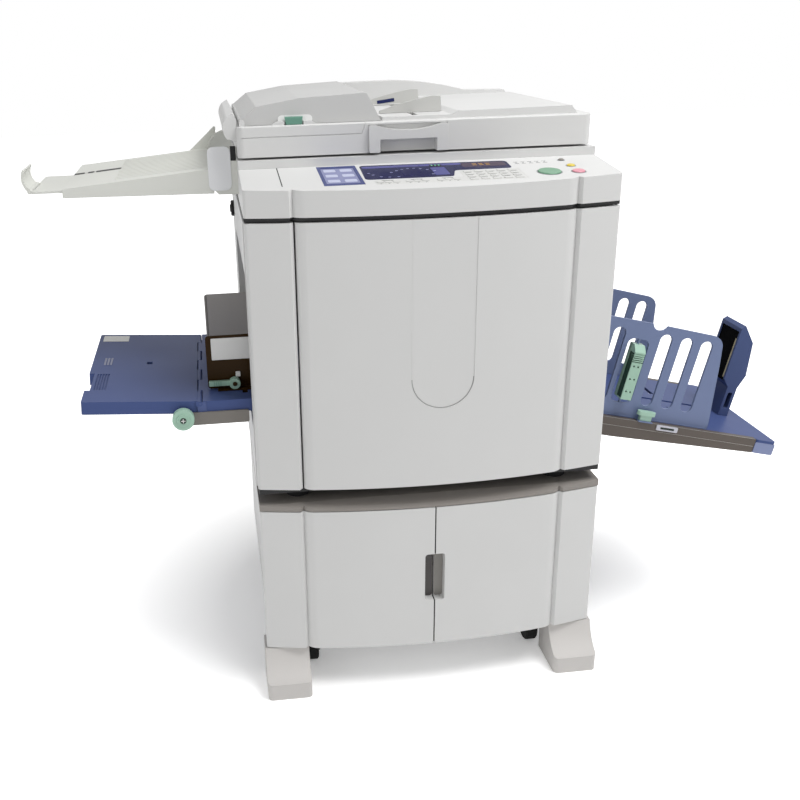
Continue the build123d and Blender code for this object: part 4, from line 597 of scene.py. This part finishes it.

# Front cover: fine grey line of painted shade round the lower end of the sunk centre panel,
# in its narrow joint. It is a thin strip laid on the cover, and follows its bow.
gap_middle = Vector((9, -360, 645)) * mm
gap_radius = 56.8 * mm
inner_share = 0.974
bpy.ops.object.select_all(action="DESELECT")
bpy.ops.mesh.primitive_circle_add(
    vertices=96,
    radius=gap_radius,
    fill_type="NOTHING",
    location=gap_middle,
    rotation=(pi / 2, 0, 0),
)
panel_gap_shade = bpy.context.object
panel_gap_shade.name = "panel_gap_shade"
bpy.ops.object.transform_apply()
bpy.ops.object.mode_set(mode="EDIT")
bpy.ops.mesh.select_all(action="DESELECT")
bpy.ops.object.mode_set(mode="OBJECT")
for vertex in panel_gap_shade.data.vertices:
    vertex.select = vertex.co.z > gap_middle.z + 1 * mm
bpy.ops.object.mode_set(mode="EDIT")
bpy.ops.mesh.select_mode(type="VERT")
bpy.ops.mesh.delete(type="VERT")
bpy.ops.mesh.select_all(action="SELECT")
bpy.ops.mesh.extrude_region_move()
inward = (inner_share, 1, inner_share)
bpy.ops.transform.resize(value=inward, center_override=gap_middle)
bpy.ops.object.mode_set(mode="OBJECT")
bpy.ops.object.modifier_add(type="SHRINKWRAP")
wrap = panel_gap_shade.modifiers[-1]
wrap.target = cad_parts["front_cover"]
wrap.wrap_method = "PROJECT"
wrap.use_project_y = True
bpy.ops.object.modifier_apply(modifier=wrap.name)
bpy.ops.object.mode_set(mode="EDIT")
bpy.ops.mesh.select_all(action="SELECT")
bpy.ops.transform.translate(value=(0, -0.1 * mm, 0))
bpy.ops.mesh.extrude_region_move(TRANSFORM_OT_translate={"value": (0, -0.15 * mm, 0)})
bpy.ops.mesh.select_all(action="SELECT")
bpy.ops.mesh.normals_make_consistent(inside=False)
bpy.ops.object.mode_set(mode="OBJECT")
clad(panel_gap_shade, "front_door", moulded("gap_painted_shade", "a3a3a3", "9d9d9d", grain=1400))

# Document table: a black liner of painted shade in the guides' slot, and a printed blue
# scale strip on the inner face of the rear guide.
# Black plastic for the latch knob, and painted shade for the liners of slots, holes and
# gaps.
black_and_painted_shade = moulded("black_and_painted_shade", "1c1c1d", "151516", grain=1400)
clad(plate("slot_liner", (0, 47, 1076.03), 8.6, 300, 0.3, 3), "lid", black_and_painted_shade)
scale_blue = standing("scale_blue", (-9, 146.95, 1087), 36, 7, 0.25, 0.6)
turn(scale_blue, -7, "Y", (-9, 147, 1087))
scale_ink = moulded("scale_blue", "202a5c", "1b2452", grain=900, roughness=0.4)
clad(scale_blue, "original_guide_rear", scale_ink)

# Original tray: the slot of the extension's catch shows three dark plates of painted shade
# on the sloping deck. A cap covers the near bracket, pale as painted light where the lid
# shades it, beside a dark strip of painted shade in the gap.
slot_start, slot_level, deck_slope = -645, 977.2, -5.2
for part, start, length in (("outer", 0, 20), ("middle", 27, 12), ("inner", 43, 50)):
    middle = (slot_start + start + length / 2, 95, slot_level)
    slot_shade_plate = plate(f"catch_slide_{part}", middle, length, 17, 1.4, 3)
    turn(slot_shade_plate, deck_slope, "Y", (-592, 0, slot_level))
    clad(slot_shade_plate, "machine", black_and_painted_shade)
bracket_face = -95.05
cap_painted_light = moulded("cap_painted_light", "eeeff1", "e8e9eb", grain=1300, roughness=0.42)
bracket_cap = standing("bracket_cap", (-360.5, bracket_face, 997.5), 42, 79, 0.8, 11)
clad(bracket_cap, "machine", cap_painted_light)
bracket_gap = standing("bracket_gap", (-334.4, bracket_face, 1024), 10, 26, 0.3, 1)
clad(bracket_gap, "machine", black_and_painted_shade)


# Side latch: round black knob on the left cover, turned from plastic, with a raised
# core that covers its screw.
def disc(name, middle, radius, thick, facing, material, body):
    """Turned disc with a chamfered rim and a dished face, standing on the given place."""
    place = Vector(middle) * mm
    bpy.ops.object.select_all(action="DESELECT")
    bpy.ops.mesh.primitive_circle_add(
        vertices=40, radius=radius * mm, fill_type="NGON", location=place
    )
    piece = bpy.context.object
    piece.name = name
    bpy.ops.object.transform_apply()
    bpy.ops.object.mode_set(mode="EDIT")
    bpy.ops.mesh.select_all(action="SELECT")
    for share in (0.8, 0.2):
        rise = {"value": (0, 0, share * thick * mm)}
        bpy.ops.mesh.extrude_region_move(TRANSFORM_OT_translate=rise)
    bpy.ops.transform.resize(value=(0.93, 0.93, 1), center_override=place)
    bpy.ops.mesh.inset(thickness=0.3 * radius * mm, depth=-0.3 * thick * mm)
    bpy.ops.mesh.select_all(action="SELECT")
    bpy.ops.mesh.normals_make_consistent(inside=False)
    bpy.ops.object.mode_set(mode="OBJECT")
    quarters = {"-X": (-90, "Y"), "+X": (90, "Y"), "-Y": (90, "X"), "+Y": (-90, "X")}
    turn(piece, *quarters[facing], middle)
    return clad(piece, body, material)


disc("latch_knob", (-330, 236, 868), 17, 7, "-X", black_and_painted_shade, "machine")
disc("latch_core", (-335, 236, 868), 8, 4, "-X", black_and_painted_shade, "machine")


# Folding leaf of the feed tray: a bare white label, grey finger marks moulded in its
# outer edge, and painted shade on the bottom of the hole for its latch.
def on_leaf(name, out, depth, level, wide, deep, thick, corner, material):
    """Plate along the folding leaf, placed by its distance out from the hinge."""
    hinge_line, droop = (-424, 0, 600.6), 3.5
    middle = (hinge_line[0] - out, depth, level)
    piece = plate(name, middle, wide, deep, thick, corner)
    turn(piece, droop, "Y", hinge_line)
    return clad(piece, "leaf", material)


leaf_top = 605.05
label_white = moulded("label_white", "f2f2f0", "ebebe9", grain=900, roughness=0.45)
mark_grey = moulded("mark_grey", "8b8fa6", "82869e", grain=900)
on_leaf("leaf_label", 178, 138, leaf_top, 54, 40, 0.2, 2, label_white)
grip_mark = on_leaf("grip_mark", 176, -18, leaf_top, 4, 44, 0.5, 1, mark_grey)
repeat(grip_mark, [(-6, 0, 0.37), (-12, 0, 0.73)], "leaf")
on_leaf("hole_liner", 100, -28, 597.9, 15, 18, 0.5, 1, black_and_painted_shade)

# Feed guides: the front one carries a bare label and a small moulded hook, and a pale strip
# on the bent edge of the rear one's steel sheet is a painted highlight.
guide_face = -186.05
guide_label = standing("guide_label", (-346, guide_face, 682), 104, 42, 0.2, 2)
clad(guide_label, "paper_guide_front", label_white)
guide_hook = standing("guide_hook", (-351, guide_face, 632), 9, 10, 3, 2)
clad(guide_hook, "paper_guide_front", label_white)
# Pale strip of painted highlight for bent steel edges.
painted_highlight_grey = powder_coat("painted_highlight_grey", "a9a59f", "a09c96")
guide_edge = standing("guide_edge", (-404.5, 115.9, 660), 3, 92, 0.3)
clad(guide_edge, "paper_guide_rear", painted_highlight_grey)

# Feed deck: a black strip of painted shade under the leaf's fold, a moulded cheek over the
# hinge's end, and dark liners of painted shade in the two slots that the guides' feet run
# in.
fold_gap_shade = plate("fold_gap_shade", (-424, -41, 579.9), 14, 410, 1.05, 2)
clad(fold_gap_shade, "elevator", black_and_painted_shade)
hinge_cheek = standing("hinge_cheek", (-421, -250.05, 593), 17, 22, 0.6, 1.5)
cheek_blue = moulded("cheek_blue", "4c5b8b", "455380", grain=1300, roughness=0.42)
clad(hinge_cheek, "elevator", cheek_blue)
feed_slot_liner = plate("feed_slot_liner", (-340, -142, 599.5), 14, 154, 0.4, 3)
clad(feed_slot_liner, "elevator", black_and_painted_shade)
repeat(feed_slot_liner, [(0, 216, 0)], "elevator")

# Lock lever of the front guide: four ribs moulded across its green arm keep the
# finger from slipping.
lever_rib = standing("lever_rib", (-396, -197.95, 618), 1.4, 8, 0.8, 0.5)
lever_green = moulded("lever_green", "8fb8a4", "84ad99", grain=1400, roughness=0.35)
clad(lever_rib, "lock", lever_green)
repeat(lever_rib, [(4, 0, 0), (8, 0, 0), (12, 0, 0)], "lock")

# Position dial: a washer on its face and a dark hub with a pale cross mark, pushed on
# the dial's shaft from the front.
hub_pale = moulded("hub_pale", "a9cdb9", "9fc3af", grain=1400, roughness=0.3)
hub_dark = moulded("hub_dark", "35473f", "2c3d35", grain=1400, roughness=0.35)
dial_across, dial_level = -456, 577
washer_place = (dial_across, -267.95, dial_level)
disc("dial_washer", washer_place, 8.5, 0.8, "-Y", hub_pale, "dial")
hub_place = (dial_across, -268.75, dial_level)
disc("dial_hub", hub_place, 5.6, 1.2, "-Y", hub_dark, "dial")
cross_place = (dial_across, -269.95, dial_level)
for name, wide, high in (("dial_cross_flat", 8, 1.5), ("dial_cross_up", 1.5, 8)):
    clad(standing(name, cross_place, wide, high, 0.4, 0.4), "dial", label_white)


# Paper arranger: a green paddle with painted shade on the floors of six dimples on its
# face, painted shade in the hollow behind it and in five grooves for the thumb over its
# sloping top.
def down_tray(along, depth, level):
    """Place by its distance down the receiving tray, before the tray is tipped."""
    return (332 + along, depth, 502.5 + level)


def on_tray(piece, body, material):
    """Tips a piece that was made level onto the receiving tray's slope."""
    tray_slope, tray_root = 13, down_tray(0, 0, 0)
    turn(piece, tray_slope, "Y", tray_root)
    return clad(piece, body, material)


painted_shade_dark = moulded("painted_shade_dark", "16221c", "111b16", grain=1400)
for row in range(3):
    for column, along in ((1, 57.5), (3, 66.5)):
        place = down_tray(along, -205.2, 63 + 26 * row)
        dimple = standing(f"dimple_{row}_{column}", place, 3.3, 3.3, 0.4, 0.2)
        on_tray(dimple, "arranger", painted_shade_dark)
painted_shade_green = moulded("painted_shade_green", "2c4a3b", "254133", grain=1400, roughness=0.45)
hollow = plate("arranger_hollow", down_tray(50.8, -197.5, 49), 0.4, 17, 92)
on_tray(hollow, "arranger", painted_shade_green)
groove = plate("arranger_groove", down_tray(62, -206.7, 123.2), 21.6, 0.3, 1.5)
on_tray(groove, "arranger", painted_shade_green)
repeat(groove, [(-0.9 * step, 0, 3.9 * step) for step in range(1, 5)], "arranger")

# Front rail of the receiving tray: folded steel with painted highlights on two edges, a
# pale plastic clip at its middle with painted shade in its slot, and the blue cap on its
# outer end.
rail_face = -205.05
clip_pale = moulded("clip_pale", "c9c9d2", "bfbfc9", grain=1400, roughness=0.35)
cap_blue = moulded("cap_blue", "8690b4", "7f89ad", grain=1300, roughness=0.4)
rail_clip = standing("rail_clip", down_tray(168, rail_face, -1), 46, 11, 2.4, 2)
on_tray(rail_clip, "machine", clip_pale)
clip_slot = standing("rail_clip_slot", down_tray(168, -207.46, -1), 30, 4, 0.4, 1.5)
on_tray(clip_slot, "machine", painted_shade_dark)
rail_edge = plate("rail_edge", down_tray(183, -204.1, 5.02), 362, 1.6, 0.25)
on_tray(rail_edge, "machine", painted_highlight_grey)
rail_fold = standing("rail_fold", down_tray(183, -205.02, -10.5), 362, 0.9, 0.2)
on_tray(rail_fold, "machine", painted_highlight_grey)
cap_face = standing("cap_face", down_tray(389, rail_face, -12), 44, 23, 0.3, 2)
on_tray(cap_face, "machine", cap_blue)

# Receiving deck and end stop: dark liners of painted shade in the four slots that the
# fences' feet run in, and the cream binding down the middle of the stop's black foam.
foam_cream = moulded("foam_cream", "cfc3a0", "c4b893", grain=700, roughness=0.7)
binding = plate("foam_binding", down_tray(337.7, -64, 88), 0.7, 4, 86)
on_tray(binding, "paper_stop", foam_cream)
for along in (34, 232):
    for number, depth in ((1, -138), (209, 70)):
        place = down_tray(along, depth, -2.9)
        liner = plate(f"deck_liner_{along}_{number}", place, 14, 132, 0.4, 3)
        on_tray(liner, "machine", black_and_painted_shade)

# Feeder hood: pale arched surround of the release catch, moulded by itself and let
# into the hood's leaning front face.
arch_white = moulded("arch_white", "ececeb", "e6e6e5", grain=1300, roughness=0.35)
arch = standing("release_arch", (-222, -130.2, 1082.5), 62, 15, 0.9, 7)
clad(turn(arch, -6.8, "X", (0, -130, 1074.4)), "hood", arch_white)

# Rear: dark filter cloth behind the louvres, mains inlet with three blades in a black
# well, and the steel screws that hold the cover.
filter_cloth = standing("filter_cloth", (-150, 307.9, 843), 196, 128, 0.5, 4)
clad(filter_cloth, "machine", rubber("filter_grey", "1a1a1b", "232324"))
inlet_black = moulded("inlet_black", "1b1b1c", "242425", grain=1400, roughness=0.4)
inlet_well = standing("inlet_well", (-260, 309.3, 503), 27.4, 21.4, 1.2, 3)
clad(inlet_well, "machine", inlet_black)
blade_steel = drawn_steel("blade_steel", "c3c6c9", roughness=0.25)
inlet_blade = standing("inlet_blade", (-260, 311.9, 506), 2, 5, 2.6, 0.4)
clad(inlet_blade, "machine", blade_steel)
repeat(inlet_blade, [(-7, 0, -5), (7, 0, -5)])
screw_steel = drawn_steel("screw_steel", "a4a7aa", roughness=0.3)
rear_screw = disc(
    "rear_screw", (-312, 319.9, 450), 4.2, 2.1, "+Y", screw_steel, "machine"
)
sides = [(x, 0, z) for z in (0, 240, 465) for x in (0, 624) if x or z]
repeat(rear_screw, sides + [(312, 0, 0), (312, 0, 465)])

# Casters and rear wheels: pressed hub caps snapped on the outer flank of each wheel,
# over the end of its axle.
hub_grey = moulded("hub_grey", "8d8f91", "828486", grain=1200, roughness=0.4)
for cap, body, facing, middle in (
    ("left_wheel_1", "left_wheel", "-X", (-244, -204, 30.6)),
    ("right_wheel_3", "right_wheel", "+X", (244, -204, 30.6)),
    ("rear_axle_1", "rear_axle", "-X", (-244, 250, 30)),
    ("rear_axle_3", "rear_axle", "+X", (244, 250, 30)),
):
    disc(f"hub_cap_{cap}", middle, 15, 1.0, facing, hub_grey, body)

# Print drum: pressed steel clamp bar that holds the master's leading edge, riveted in
# a seat on top of the drum.
clad(plate("master_clamp", (70, 25, 895.4), 22, 330, 2.4, 2), "drum", blade_steel)

# Scanning carriage: white diffuser strip of the lamp, clipped in a slot on top of the
# black carriage.
lamp_white = moulded("lamp_white", "f4f6f4", "eef0ee", grain=900, roughness=0.3)
lamp_strip = plate("lamp_strip", (-218, 100, 986.6), 6, 190, 3, 1.5)
clad(lamp_strip, "carriage", lamp_white)

# Document glass: grey scale strips, punched from sheet and glued along its left and
# rear edges, that originals are laid against.
strip_grey = moulded("strip_grey", "b4b6b8", "abadaf", grain=900, roughness=0.45)
for name, middle, wide, deep in (
    ("scale_left", (-263, 57, 1016), 16, 312),
    ("scale_rear", (-27, 226, 1016), 440, 14),
):
    clad(plate(name, middle, wide, deep, 0.5, 1), "machine", strip_grey)
